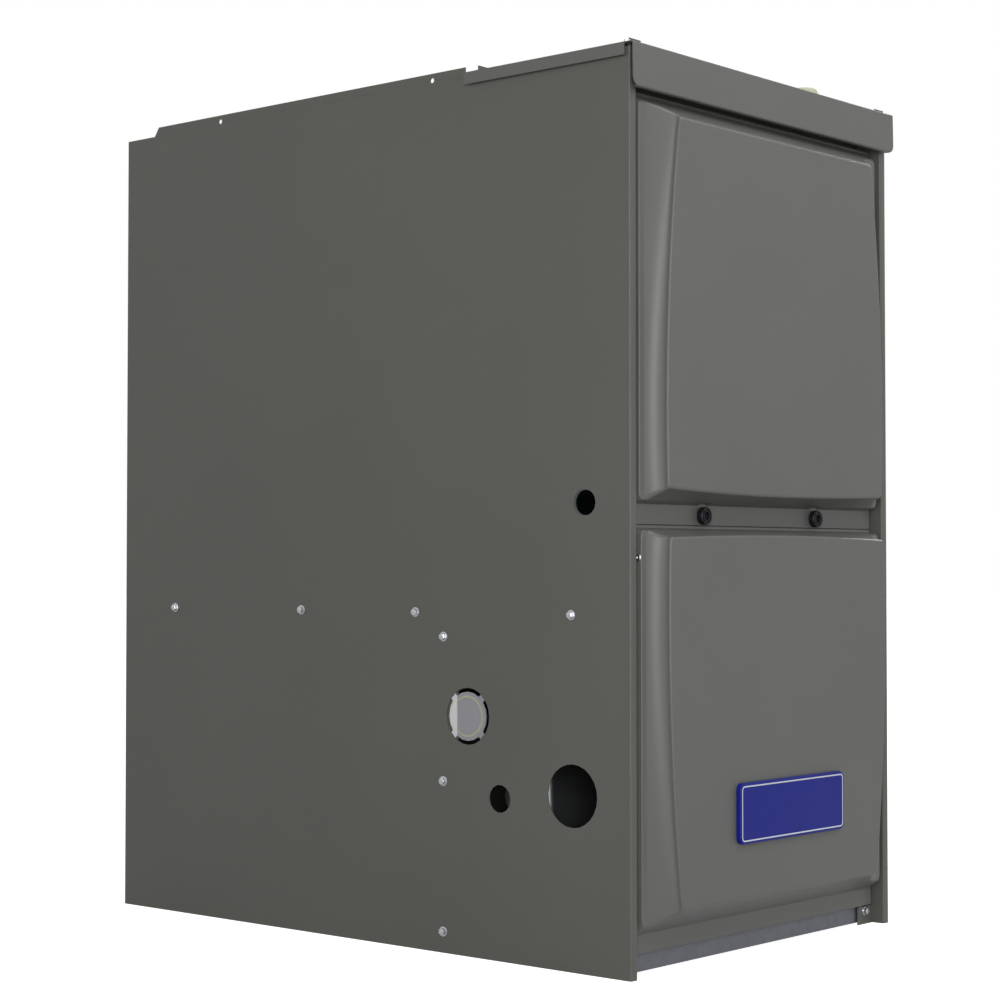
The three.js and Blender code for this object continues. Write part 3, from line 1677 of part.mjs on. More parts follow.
// A clear tube from the pressure switch to the collector box.
function pressureHose() {
  const y = panelFrontY - pressureSwitch.depth - hose.portLength - 2 * GAP;
  const from = [pressureSwitch.x + hose.portX, y, pressureSwitch.z - hose.portDrop];
  const to = [-collector.width / 2 + 22, collectorFront - GAP, collector.bottom + 16];
  const loopY = y - hose.loop;
  const route = [from, [from[0], loopY, from[2]], [to[0], loopY, to[2]], to];
  return bentRod(route, hose.radius, hose.bend);
}

const trapX = wallX - trap.wallGap - trap.width / 2;

function condensateTrap() {
  const { y, width, depth, height, bottom } = trap;
  const x = trapX;
  const w = width / 2;
  const d = depth / 2;
  const body = prism(outline(roundedPoints(x - w, x + w, y - d, y + d, 7)), 'z', bottom, bottom + height);
  const spout = rod('y', x - 10, bottom + 12, 7, y - d - 16, y - d + 1, 12);
  const inlet = rod('z', x - 12, y, 8, bottom + height - 1, bottom + height + 12, 12);
  const ribs = repeat(2, (i) =>
    block(x - w - 1.2, x + w + 1.2, y - d - 1.2, y + d + 1.2, bottom + 30 + i * 34, bottom + 33 + i * 34),
  );
  const bracket = block(
    x + w - 1,
    wallX - GAP,
    y - d + 6,
    y + d - 6,
    bottom + height - 26,
    bottom + height - 6,
  );
  return join(body, spout, inlet, ...ribs, bracket);
}

// A black tube from the collector box down to the trap.
function drainHose() {
  const top = [collector.width / 2 - 16, panelFrontY - GAP - collector.depth / 2, collector.bottom - GAP];
  const foot = [trapX - 12, trap.y, trap.bottom + trap.height + 12 + GAP];
  const lean = (top[2] - foot[2]) / 4;
  const route = [top, [top[0], top[1], top[2] - lean], [foot[0], foot[1], foot[2] + lean], foot];
  return bentRod(route, drain.radius, drain.bend, 8, drain.steps);
}

// ---------------------------------------------------------------------------------------------------------
// Heat exchanger

const rearHeaderFront = tubes.rearTurn + tubes.bendRadius + rearHeader.offset;

// A tube runs back from its burner, turns up twice and ends at the rear header. It is seen from the burner row.
function heatTube() {
  const rise = 2 * tubes.bendRadius;
  const front = tubes.frontTurn - tubes.bendRadius;
  const rear = tubes.rearTurn + tubes.bendRadius;
  const headerFront = rearHeaderFront - GAP;
  const route = [
    [0, panelY + GAP, 0],
    [0, rear, 0],
    [0, rear, rise],
    [0, front, rise],
    [0, front, 2 * rise],
    [0, headerFront, 2 * rise],
  ];
  return bentRod(route, tubes.radius, tubes.bendRadius, 8, 2);
}

// The box that leads the gas from the tubes into the coil. It is seen from the burner row.
function rearHeaderBox() {
  const half = rearHeader.width / 2;
  const [low, high] = [rearHeader.bottom - burner.row, coil.top - burner.row];
  const y = rearHeaderFront;
  return prism(
    outline(roundedPoints(-half, half, low, high, rearHeader.corner)),
    'y',
    y,
    y + rearHeader.depth,
  );
}

// Deep fins, cut from above and below in turn, on the core that holds the tubes.
function finnedCoil() {
  const front = panelY + GAP;
  const fin = coil.finThickness;
  const pitch = (rearHeaderFront - GAP - front - fin) / (coil.fins - 1);
  const mid = (coil.bottom + coil.top) / 2;
  const upper = repeat(coil.fins, (i) => {
    const y = front + i * pitch;
    const root = mid + coil.core / 2;
    return [[y, root], [y, coil.top], [y + fin, coil.top], [y + fin, root]];
  }).flat();
  const lower = upper.map(([y, z]) => [y, 2 * mid - z]).reverse();
  const half = coil.width / 2;
  return prism(outline([...upper, ...lower]), 'x', -half, half);
}

function limitSwitchBody() {
  const { x, z, radius, body } = limitSwitch;
  const back = panelFrontY - GAP;
  const plate = prism(outline(roundedPoints(x - 17, x + 17, z - 12, z + 12, 3, 2)), 'y', back - 1.5, back);
  const can = rod('y', x, z, radius, back - body, back - 1, 14);
  const ends = [back - body - blade.length, back - body + 1];
  const blades = [-5, 5].map((dx) => terminalBlade('y', ends, x + dx, z));
  return join(plate, can, ...blades);
}

// ---------------------------------------------------------------------------------------------------------
// Assembly

piece('cabinet_wrapper', 'casingPaint', cabinetWrapper());
piece('top_front_cover', 'doorPaint', topCap());
piece('return_opening_frame', 'casingPaint', topOpeningFrame());
piece('front_header', 'galvanised', frontHeader());
piece('base_pan', 'galvanised', basePanSheet());
piece('supply_opening_frame', 'galvanised', supplyFrame());
piece('blower_deck', 'galvanised', blowerDeck());
piece('vestibule_panel', 'casingPaint', vestibulePanel());
piece('door_crossbar', 'galvanised', doorCrossbar());

const upperDoorGroup = assembly(0, door.rimSetback, upperDoorFoot);
piece('upper_door', 'doorPaint', upperDoorPanel(), upperDoorGroup);
const knobPlaces = { left: [-knob.offset, 0, knob.rise], right: [knob.offset, 0, knob.rise] };
Object.entries(knobPlaces).forEach(([side, place]) => {
  piece(`${side}_knob`, 'blackPlastic', knobBody(), upperDoorGroup, place);
  piece(`${side}_knob_stud`, 'steel', knobStud(), upperDoorGroup, place);
});

const lowerDoorGroup = assembly(0, door.rimSetback, doorSplit.floorGap);
piece('lower_door', 'doorPaint', pressedDoor(lowerDoor, lowerDoorHeight), lowerDoorGroup);
piece('blank_badge', 'bluePlate', blankBadge(), lowerDoorGroup, [badge.centreX, 0, badge.rise]);

piece('side_hole_plug', 'clearPlastic', sideHolePlug());
piece('top_hole_plug', 'palePlastic', topHolePlug(), furnace, [topPlug.x, topPlug.y, capTop]);

const blowerGroup = assembly(0, blowerY, blower.centreZ);
piece('blower_housing', 'galvanised', blowerHousing(), blowerGroup);
piece('blower_wheel', 'galvanised', blowerWheel(), blowerGroup);
piece('blower_shaft', 'steel', blowerShaft(), blowerGroup);
piece('blower_motor', 'blackSteel', blowerMotor(), blowerGroup);
piece('motor_mount', 'galvanised', motorMountArms(), blowerGroup);

piece('control_tray', 'galvanised', controlTray());
piece('control_board', 'circuitBoard', controlBoard());
piece('transformer', 'copperWinding', transformerBody());
piece('junction_box', 'galvanised', junctionBoxShell());
piece('door_switch', 'blackPlastic', doorSwitchBody());
piece('door_switch_plunger', 'ceramic', doorSwitchPlunger());
piece('lining_left', 'foil', liningSide(-1), furnace, [GAP - wallX, 0, 0]);
piece('lining_right', 'foil', liningSide(1), furnace, [wallX - GAP, 0, 0]);
piece('lining_back', 'foil', liningRear());

// The burners and the tubes behind them stand in one row.
const burnerRow = assembly(burner.centreX, 0, burner.row);
repeat(burner.count, (i) => {
  const place = [burnerOffset(i), 0, 0];
  piece(`burner_${i + 1}`, 'aluminium', burnerTube(), burnerRow, place);
  piece(`heat_tube_${i + 1}`, 'stainless', heatTube(), burnerRow, place);
});
piece('rear_header', 'stainless', rearHeaderBox(), burnerRow);
const rackSide = burnerOffset(burner.count - 1) + rack.sideReach + GAP;
const rolloutY = rack.front + rollout.rackPlace;
piece('rollout_switch_left', 'blackPlastic', rolloutSwitch(-1), burnerRow, [-rackSide, rolloutY, 0]);
piece('rollout_switch_right', 'blackPlastic', rolloutSwitch(1), burnerRow, [rackSide, rolloutY, 0]);
piece('burner_rack', 'galvanised', burnerRack());
piece('gas_valve', 'aluminium', gasValveBody());
piece('gas_valve_dial', 'blackPlastic', gasValveDial());
piece('gas_manifold', 'blackSteel', gasManifold());
piece('igniter', 'ceramic', igniterAssembly());
piece('flame_sensor', 'ceramic', flameSensor());
piece('limit_switch', 'blackPlastic', limitSwitchBody());

piece('collector_box', 'blackPlastic', collectorBox());
const inducerGroup = assembly(inducer.centreX, 0, inducerEye);
piece('inducer_housing', 'blackPlastic', inducerHousing(), inducerGroup);
piece('inducer_wheel', 'blackPlastic', inducerImpeller(), inducerGroup);
piece('inducer_motor', 'blackSteel', inducerMotorBody(), inducerGroup);
piece('vent_coupling', 'rubber', ventCoupling(), inducerGroup);

piece('pressure_switch', 'blackPlastic', pressureSwitchBody());
piece('pressure_hose', 'clearPlastic', pressureHose());
piece('condensate_trap', 'blackPlastic', condensateTrap());
piece('drain_hose', 'rubber', drainHose());

piece('finned_coil', 'aluminium', finnedCoil());

export default furnace;
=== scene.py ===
"""A forced air gas furnace: finishes, pressed doors, fasteners and wiring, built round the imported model.

Laid out as an add-on: its sizes and colours are properties, each piece or group of like pieces is one
operator, and a panel in the sidebar lists them. The scene is in metres, with +Z up and the doors facing -Y.
Most places are written in millimetres, from the middle, the front flanges and the floor.
"""
import json
import math

import bmesh
import bpy
from bpy.props import FloatProperty, FloatVectorProperty, PointerProperty
from mathutils import Matrix, Vector
from mathutils.bvhtree import BVHTree


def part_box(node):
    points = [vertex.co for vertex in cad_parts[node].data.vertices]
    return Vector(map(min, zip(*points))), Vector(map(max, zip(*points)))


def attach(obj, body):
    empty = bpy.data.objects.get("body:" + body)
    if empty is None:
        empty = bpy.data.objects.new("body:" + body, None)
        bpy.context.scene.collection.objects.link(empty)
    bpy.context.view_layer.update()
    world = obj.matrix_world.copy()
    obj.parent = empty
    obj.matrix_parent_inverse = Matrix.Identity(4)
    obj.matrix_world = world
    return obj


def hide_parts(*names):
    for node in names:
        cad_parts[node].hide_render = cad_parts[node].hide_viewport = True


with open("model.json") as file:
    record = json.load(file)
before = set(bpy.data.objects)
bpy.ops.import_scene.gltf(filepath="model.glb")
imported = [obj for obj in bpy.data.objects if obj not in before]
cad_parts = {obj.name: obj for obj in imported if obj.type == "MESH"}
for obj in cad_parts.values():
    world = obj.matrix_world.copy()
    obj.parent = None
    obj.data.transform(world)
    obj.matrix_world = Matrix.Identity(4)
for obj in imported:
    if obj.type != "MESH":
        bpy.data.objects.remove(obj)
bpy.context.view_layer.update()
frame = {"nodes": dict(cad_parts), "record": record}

bl_info = {
    "name": "Forced Air Furnace",
    "version": (1, 0, 0),
    "blender": (4, 5, 0),
    "location": "View3D > Sidebar > Furnace",
    "description": "Finishes, doors, fasteners and wiring of a gas furnace, and its stage",
    "category": "Object",
}


def mm(*values):
    """Millimetres as metres: one number, or a tuple of several."""
    metres = tuple(value / 1000 for value in values)
    return metres[0] if len(metres) == 1 else metres


def in_mm(metres):
    return metres * 1000


def linear(hex_colour):
    """An sRGB hex colour such as "8A8D90" as linear red, green, blue and alpha."""
    parts = [int(hex_colour[i : i + 2], 16) / 255 for i in (0, 2, 4)]
    return tuple(c / 12.92 if c <= 0.04045 else ((c + 0.055) / 1.055) ** 2.4 for c in parts) + (1.0,)


# ---------------------------------------------------------------------------------------------------------
# Places that the frame gives

WRAPPER_LOW, WRAPPER_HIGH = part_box("cabinet_wrapper")
FRONT = WRAPPER_LOW.y  # the plane of the front flanges
SIDE = WRAPPER_HIGH.x  # the outside of the right side


def behind_front(distance):
    """The place of something that lies a distance in millimetres behind the front flanges."""
    return FRONT + mm(distance)


def spot(across, back, height):
    """A place in millimetres: across from the middle, behind the front flanges, above the floor."""
    return Vector((mm(across), behind_front(back), mm(height)))


# ---------------------------------------------------------------------------------------------------------
# Sizes and colours that a user would change


def length(name, millimetres, description):
    default = mm(millimetres)
    return FloatProperty(name=name, description=description, default=default, unit="LENGTH", precision=5)


def power(name, watts, description):
    return FloatProperty(name=name, description=description, default=watts, unit="POWER")


def colour(name, hex_colour, description):
    return FloatVectorProperty(
        name=name,
        description=description,
        default=linear(hex_colour),
        size=4,
        subtype="COLOR",
        min=0.0,
        max=1.0,
    )


class FurnaceColours(bpy.types.PropertyGroup):
    # painted shade: the casing is the same powder coat as the doors, set darker because the wrapper's sides
    # take less light
    casing_painted_shade: colour("Casing", "555651", "Powder coat of the wrapper and the duct flange")
    doors: colour("Doors", "5D5E5B", "Powder coat of the doors and the top cover")
    zinc: colour("Zinc", "66686F", "Galvanised sheet")
    screws: colour("Screws", "B4B6BA", "Zinc plated screws")
    black: colour("Black plastic", "141518", "Knobs, switches and inducer housing")
    badge: colour("Badge", "141F7E", "Enamel of the badge")
    badge_line: colour("Badge line", "C9CCD2", "Line round the badge")
    copper: colour("Copper", "B0683C", "Windings of the transformer")
    board: colour("Board", "245A38", "Solder mask of the control board")


class DoorSizes(bpy.types.PropertyGroup):
    rim_setback: length("Rim setback", 11.3, "From the front flanges back to the rim of a door")
    sheet: length("Sheet", 1.2, "Thickness of the pressed sheet")
    hem: length("Hem", 12, "Depth of the folded edge")
    edge_bend: length("Edge bend", 3.4, "Depth that the bend round the face takes up")
    side_wall: length("Side wall", 1.6, "From the edge of the rim to the raised panel")
    pressing_corner: length("Pressing corner", 6, "Radius of the raised panel's corners")
    split_gap: length("Split gap", 0.12, "Gap between the two doors")
    knob_relief: length("Knob relief", 12.5, "Radius of the pressing that keeps clear of each knob")
    ledge_inset: length("Ledge inset", 6.4, "From the raised panel's edge to the start of its cove")
    face_wall: length("Face wall", 1.2, "Straight edge of the face before the cove begins")
    face_inset: length("Face inset", 19.6, "From the raised panel's edge to the widest place of the face")


class FastenerSizes(bpy.types.PropertyGroup):
    washer_radius: length("Washer radius", 4.9, "Radius of the flange of a hex washer screw")
    washer_height: length("Washer height", 0.9, "Thickness of that flange")
    hex_flats: length("Hex flats", 6.4, "Width of the hex head across its flats")
    head_height: length("Head height", 2.9, "Height of the hex head over its flange")


class BadgeSizes(bpy.types.PropertyGroup):
    corner: length("Corner", 7, "Radius of the corners")
    edge: length("Edge", 1.2, "Radius of the rounded front edge")
    line_inset: length("Line inset", 2.6, "From the edge of the badge to its line")
    line_width: length("Line width", 1.3, "Width of the line")


class StageSettings(bpy.types.PropertyGroup):
    floor_size: FloatProperty(name="Floor", description="Side of the floor", default=40.0, unit="LENGTH")
    sky: FloatProperty(name="Sky", description="Strength of the even light all round", default=0.3, min=0.0)
    key_power: power("Key", 11.0, "Power of the light over the camera")
    fill_power: power("Fill", 52.0, "Power of the light behind the camera")
    right_power: power("Right", 24.0, "Power of the light on the right")
    front_power: power("Front", 21.0, "Power of the front light")
    side_power: power("Side", 0.5, "Power of the light on the side")
    top_power: power("Top", 5.0, "Power of the light overhead")


PROPERTY_GROUPS = {
    "furnace_colours": FurnaceColours,
    "furnace_door": DoorSizes,
    "furnace_fastener": FastenerSizes,
    "furnace_badge": BadgeSizes,
    "furnace_stage": StageSettings,
}

# ---------------------------------------------------------------------------------------------------------
# Materials


def add_node(tree, kind, inputs=None, **settings):
    """Adds one node. Each input is a value, or the output of another node to link."""
    node = tree.nodes.new(kind)
    for name, value in settings.items():
        setattr(node, name, value)
    for name, value in (inputs or {}).items():
        if isinstance(value, bpy.types.NodeSocket):
            tree.links.new(value, node.inputs[name])
        else:
            node.inputs[name].default_value = value
    return node


def new_material(name):
    """An empty material, its node tree, and the place of each point in the object's frame."""
    material = bpy.data.materials.new(name)
    material.use_nodes = True
    tree = material.node_tree
    tree.nodes.clear()
    place = add_node(tree, "ShaderNodeTexCoord").outputs["Object"]
    return material, tree, place


VIEWPORT_GREY = (0.5, 0.5, 0.5, 1.0)


def close(material, tree, shader):
    """Ends a material's nodes with their output."""
    add_node(tree, "ShaderNodeOutputMaterial", {"Surface": shader.outputs[0]})
    material.diffuse_color = VIEWPORT_GREY
    return material


def cycles_per(millimetres):
    """The scale of a pattern that repeats at a size in millimetres."""
    return 1000.0 / millimetres


def shades(tree, factor, *stops):
    """A colour ramp from (place, colour) pairs."""
    ramp = add_node(tree, "ShaderNodeValToRGB", {"Fac": factor})
    elements = ramp.color_ramp.elements
    while len(elements) < len(stops):
        elements.new(1.0)
    for element, (position, rgba) in zip(elements, stops):
        element.position = position
        element.color = rgba
    return ramp.outputs["Color"]


def darker(rgba, share):
    """A colour times a share, which may also be over 1."""
    return tuple(c * share for c in rgba[:3]) + (1.0,)


def powder_coat(name, rgba, roughness):
    """Polyester powder coat, sprayed dry and baked on sheet steel.

    It gives a soft even sheen with a fine orange peel, and hardly any change of colour over a panel.
    """
    material, tree, place = new_material(name)
    # real orange peel is about 1 mm across; it is drawn at 1.6 mm so that it shows
    peel = add_node(tree, "ShaderNodeTexNoise", {"Vector": place, "Scale": cycles_per(1.6), "Detail": 2.0})
    bump = add_node(
        tree, "ShaderNodeBump", {"Height": peel.outputs["Fac"], "Strength": 0.10, "Distance": mm(0.05)}
    )
    drift = add_node(tree, "ShaderNodeTexNoise", {"Vector": place, "Scale": cycles_per(180), "Detail": 3.0})
    tone = shades(tree, drift.outputs["Fac"], (0.3, darker(rgba, 0.965)), (0.7, darker(rgba, 1.035)))
    gloss = add_node(
        tree,
        "ShaderNodeMapRange",
        {"Value": drift.outputs["Fac"], "To Min": roughness - 0.03, "To Max": roughness + 0.03},
    )
    shader = add_node(
        tree,
        "ShaderNodeBsdfPrincipled",
        {
            "Base Color": tone,
            "Roughness": gloss.outputs["Result"],
            "Normal": bump.outputs["Normal"],
            "Specular IOR Level": 0.35,
        },
    )
    return close(material, tree, shader)


def galvanised_sheet(name, rgba):
    """Hot dipped galvanised steel sheet.

    The zinc sets in flat crystals, so the eye sees faint pale and dark spangles about 7 mm across.
    """
    material, tree, place = new_material(name)
    spangle = add_node(tree, "ShaderNodeTexVoronoi", {"Vector": place, "Scale": cycles_per(7)})
    split = add_node(tree, "ShaderNodeSeparateColor", {"Color": spangle.outputs["Color"]})
    tone = shades(tree, split.outputs["Red"], (0.0, darker(rgba, 0.96)), (1.0, darker(rgba, 1.04)))
    gloss = add_node(
        tree, "ShaderNodeMapRange", {"Value": split.outputs["Green"], "To Min": 0.42, "To Max": 0.56}
    )
    scuff = add_node(tree, "ShaderNodeTexNoise", {"Vector": place, "Scale": cycles_per(2.5), "Detail": 4.0})
    bump = add_node(
        tree, "ShaderNodeBump", {"Height": scuff.outputs["Fac"], "Strength": 0.08, "Distance": mm(0.05)}
    )
    shader = add_node(
        tree,
        "ShaderNodeBsdfPrincipled",
        {
            "Base Color": tone,
            "Metallic": 0.5,
            "Roughness": gloss.outputs["Result"],
            "Normal": bump.outputs["Normal"],
        },
    )
    return close(material, tree, shader)


def worked_metal(name, rgba, roughness, grain=0.8, contrast=0.08):
    """A bare or plated metal with a fine grain: turned, rolled, plated or cast, by its grain size in mm.

    It gives a soft grey gloss that breaks up a little, and no colour of its own.
    """
    material, tree, place = new_material(name)
    texture = add_node(
        tree, "ShaderNodeTexNoise", {"Vector": place, "Scale": cycles_per(grain), "Detail": 4.0}
    )
    tone = shades(
        tree, texture.outputs["Fac"], (0.3, darker(rgba, 1 - contrast)), (0.7, darker(rgba, 1 + contrast))
    )
    gloss = add_node(
        tree,
        "ShaderNodeMapRange",
        {"Value": texture.outputs["Fac"], "To Min": roughness - 0.06, "To Max": roughness + 0.06},
    )
    bump = add_node(
        tree, "ShaderNodeBump", {"Height": texture.outputs["Fac"], "Strength": 0.12, "Distance": mm(0.1)}
    )
    shader = add_node(
        tree,
        "ShaderNodeBsdfPrincipled",
        {
            "Base Color": tone,
            "Metallic": 1.0,
            "Roughness": gloss.outputs["Result"],
            "Normal": bump.outputs["Normal"],
        },
    )
    return close(material, tree, shader)


def moulded_plastic(name, rgba, roughness, grain=0.6, specular=0.35):
    """Injection moulded plastic from a lightly spark eroded mould.

    Its skin has a very fine grain, so the gloss is soft.
    """
    material, tree, place = new_material(name)
    texture = add_node(
        tree, "ShaderNodeTexNoise", {"Vector": place, "Scale": cycles_per(grain), "Detail": 2.0}
    )
    tone = shades(tree, texture.outputs["Fac"], (0.3, darker(rgba, 0.94)), (0.7, darker(rgba, 1.06)))
    bump = add_node(
        tree, "ShaderNodeBump", {"Height": texture.outputs["Fac"], "Strength": 0.15, "Distance": mm(0.05)}
    )
    shader = add_node(
        tree,
        "ShaderNodeBsdfPrincipled",
        {
            "Base Color": tone,
            "Roughness": roughness,
            "Specular IOR Level": specular,
            "Normal": bump.outputs["Normal"],
        },
    )
    return close(material, tree, shader)


def milky_disc(name):
    """Polyethylene, moulded thin in its natural milky colour.

    The light and shade seen through it are painted into its colour: it is paler where the folded edge of the
    inner wall lies close behind it and darker over the unlit inside, and a ring near its rim is slightly
    yellow.
    """
    material, tree, place = new_material(name)
    low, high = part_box("side_hole_plug")
    middle = (low + high) / 2
    ring_radius = mm(19)
    ring_half, ring_fades = mm(0.7), mm(1.3)  # half the ring's width, and where its colour has faded out
    wall_edge = behind_front(212)  # where the folded edge of the inner wall ends behind the disc
    blur = mm(0.5)  # of that edge in the painted light and shade, as if seen through the disc
    axis = add_node(tree, "ShaderNodeSeparateXYZ", {"Vector": place})
    from_middle = add_node(
        tree, "ShaderNodeVectorMath", {0: place, 1: (low.x, middle.y, middle.z)}, operation="DISTANCE"
    )
    off_ring = add_node(
        tree, "ShaderNodeMath", {0: from_middle.outputs["Value"], 1: ring_radius}, operation="SUBTRACT"
    )
    ring_distance = add_node(tree, "ShaderNodeMath", {0: off_ring.outputs["Value"]}, operation="ABSOLUTE")
    on_ring = add_node(
        tree,
        "ShaderNodeMapRange",
        {
            "Value": ring_distance.outputs["Value"],
            "From Min": ring_half,
            "From Max": ring_fades,
            "To Min": 1.0,
            "To Max": 0.0,
        },
    )
    # painted light and shade: 0 over the unlit inside, 1 where the inner wall's edge lies behind the disc
    painted_light_mask = add_node(
        tree,
        "ShaderNodeMapRange",
        {"Value": axis.outputs["Y"], "From Min": wall_edge - blur, "From Max": wall_edge + blur},
    )
    # both ramps hold painted shade at their dark end and painted light at their pale end; the ring's yellow
    # is its own
    body = shades(tree, painted_light_mask.outputs["Result"], (0.0, linear("8C8C92")), (1.0, linear("C6C6CC")))
    rim = shades(tree, painted_light_mask.outputs["Result"], (0.0, linear("A3A38C")), (1.0, linear("CFCFB8")))
    # of the mix node's inputs, 6 and 7 are the two colours, and 2 is the colour that comes out
    tone = add_node(
        tree, "ShaderNodeMix", {0: on_ring.outputs["Result"], 6: body, 7: rim}, data_type="RGBA"
    )
    shader = add_node(
        tree,
        "ShaderNodeBsdfPrincipled",
        {"Base Color": tone.outputs[2], "Roughness": 0.38, "Specular IOR Level": 0.3},
    )
    return close(material, tree, shader)


def gloss_enamel(name, rgba):
    """Gloss enamel on a pressed plate, under a thin clear coat.

    The colour is deep and even, and the coat adds a faint sharp reflection.
    """
    material, tree, place = new_material(name)
    cloud = add_node(tree, "ShaderNodeTexNoise", {"Vector": place, "Scale": cycles_per(25), "Detail": 2.0})
    tone = shades(tree, cloud.outputs["Fac"], (0.3, darker(rgba, 0.95)), (0.7, darker(rgba, 1.05)))
    shader = add_node(
        tree,
        "ShaderNodeBsdfPrincipled",
        {
            "Base Color": tone,
            "Roughness": 0.35,
            "Specular IOR Level": 0.1,
            "Coat Weight": 0.08,
            "Coat Roughness": 0.12,
        },
    )
    return close(material, tree, shader)


def varnished_winding(name, rgba):
    """Enamelled copper wire, wound in layers and dipped in varnish.

    Each turn of wire shows as a fine ridge, with painted shade dark in the groove between two turns.
    """
    material, tree, place = new_material(name)
    # the wave node draws a little over three bands for each unit of its scale
    turns = add_node(
        tree,
        "ShaderNodeTexWave",
        {"Vector": place, "Scale": cycles_per(0.9) / math.pi, "Distortion": 0.3, "Detail": 1.0},
        bands_direction="Z",
    )
    # painted shade: the colour falls to about a third in the groove between two turns
    tone = shades(tree, turns.outputs["Fac"], (0.1, darker(rgba, 0.35)), (0.6, rgba))
    bump = add_node(
        tree, "ShaderNodeBump", {"Height": turns.outputs["Fac"], "Strength": 0.5, "Distance": mm(0.4)}
    )
    shader = add_node(
        tree,
        "ShaderNodeBsdfPrincipled",
        {"Base Color": tone, "Metallic": 0.6, "Roughness": 0.35, "Normal": bump.outputs["Normal"]},
    )
    return close(material, tree, shader)


def heat_tinted_steel(name, rgba):
    """Stainless tube that has been hot.

    It has gone straw brown and a little blue in soft bands, and its drawn surface has a fine grain.
    """
    material, tree, place = new_material(name)
    band = add_node(tree, "ShaderNodeTexNoise", {"Vector": place, "Scale": cycles_per(120), "Detail": 3.0})
    tone = shades(
        tree,
        band.outputs["Fac"],
        (0.30, linear("8F8A7E")),
        (0.45, rgba),
        (0.60, linear("A08C66")),
        (0.75, linear("7D8290")),
    )
    grain = add_node(tree, "ShaderNodeTexNoise", {"Vector": place, "Scale": cycles_per(1.2), "Detail": 4.0})
    bump = add_node(
        tree, "ShaderNodeBump", {"Height": grain.outputs["Fac"], "Strength": 0.1, "Distance": mm(0.1)}
    )
    shader = add_node(
        tree,
        "ShaderNodeBsdfPrincipled",
        {"Base Color": tone, "Metallic": 1.0, "Roughness": 0.38, "Normal": bump.outputs["Normal"]},
    )
    return close(material, tree, shader)


def creased_foil(name, rgba):
    """Aluminium foil laminated on glass fibre board, with a scrim of thread under it.

    The foil is lightly creased: soft folds about 16 mm apart and a finer crumple break up its sheen.
    """
    material, tree, place = new_material(name)
    creases = add_node(
        tree, "ShaderNodeTexVoronoi", {"Vector": place, "Scale": cycles_per(16)}, feature="DISTANCE_TO_EDGE"
    )
    fine = add_node(tree, "ShaderNodeTexNoise", {"Vector": place, "Scale": cycles_per(9), "Detail": 5.0})
    height = add_node(
        tree, "ShaderNodeMath", {0: creases.outputs["Distance"], 1: fine.outputs["Fac"]}, operation="ADD"
    )
    bump = add_node(
        tree, "ShaderNodeBump", {"Height": height.outputs["Value"], "Strength": 0.25, "Distance": mm(0.8)}
    )
    tone = shades(tree, fine.outputs["Fac"], (0.3, darker(rgba, 0.93)), (0.7, darker(rgba, 1.05)))
    shader = add_node(
        tree,
        "ShaderNodeBsdfPrincipled",
        {"Base Color": tone, "Metallic": 0.9, "Roughness": 0.38, "Normal": bump.outputs["Normal"]},
    )
    return close(material, tree, shader)


def solder_mask(name, rgba):
    """Glass epoxy board with green solder mask over its copper tracks.

    The tracks show as slightly lighter straight lines under the green, and the mask is glossy.
    """
    material, tree, place = new_material(name)
    cells = add_node(
        tree,
        "ShaderNodeTexBrick",
        {
            "Vector": place,
            "Scale": cycles_per(14),
            "Color1": rgba,
            "Color2": darker(rgba, 0.88),
            "Mortar": darker(rgba, 1.5),
            "Mortar Size": 0.03,
        },
    )
    shader = add_node(
        tree,
        "ShaderNodeBsdfPrincipled",
        {"Base Color": cells.outputs["Color"], "Roughness": 0.3, "Specular IOR Level": 0.4},
    )
    return close(material, tree, shader)


# Colours of the wires' insulation
WIRE_TINTS = {
    "black": "1E1E20",
    "white": "C9C9C4",
    "red": "8E1F1B",
    "blue": "25478C",
    "yellow": "B79A2B",
    "green": "2E6B3A",
    "orange": "B5602A",
    "brown": "58402F",
}


def make_materials(colours):
    """One material for each slot of the record, and those of the small parts."""
    return {
        "casing_paint": powder_coat("powder_coat_casing", colours.casing_painted_shade, 0.42),
        "door_paint": powder_coat("powder_coat_doors", colours.doors, 0.43),
        "galvanised": galvanised_sheet("galvanised_sheet", colours.zinc),
        "black_plastic": moulded_plastic("moulded_black_nylon", colours.black, 0.4, specular=0.3),
        "steel": worked_metal("turned_steel", linear("84868A"), 0.34),
        "zinc_plate": worked_metal("zinc_plated_steel", colours.screws, 0.3, grain=1.5),
        "badge": gloss_enamel("blue_gloss_enamel", colours.badge),
        "badge_line": worked_metal("bright_aluminium_line", colours.badge_line, 0.35, contrast=0.03),
        "milky_plastic": milky_disc("milky_polyethylene"),
        "pale_plastic": moulded_plastic("pale_polypropylene", linear("B9BFA2"), 0.4),
        "motor_paint": powder_coat("black_baked_enamel", linear("232427"), 0.35),
        "circuit_board": solder_mask("green_solder_mask", colours.board),
        "winding": varnished_winding("varnished_copper_winding", colours.copper),
        "ceramic": moulded_plastic("unglazed_porcelain", linear("D9D4C6"), 0.7, grain=0.4),
        "foil": creased_foil("foil_facing", linear("B5B8BA")),
        "aluminised": worked_metal("aluminised_steel", linear("A4A7A9"), 0.45, grain=1.2, contrast=0.12),
        "black_pipe": worked_metal("lacquered_black_pipe", linear("37383B"), 0.42, grain=2.0, contrast=0.15),
        "rubber": moulded_plastic("moulded_rubber", linear("1D1D1E"), 0.75, grain=0.5, specular=0.25),
        "stainless": heat_tinted_steel("heat_tinted_stainless", linear("9A9A98")),
        **{
            f"{name}_wire": moulded_plastic(f"pvc_insulation_{name}", linear(tint), 0.4, grain=0.8)
            for name, tint in WIRE_TINTS.items()
        },
    }


MATERIALS = {}  # filled by the finishes operator

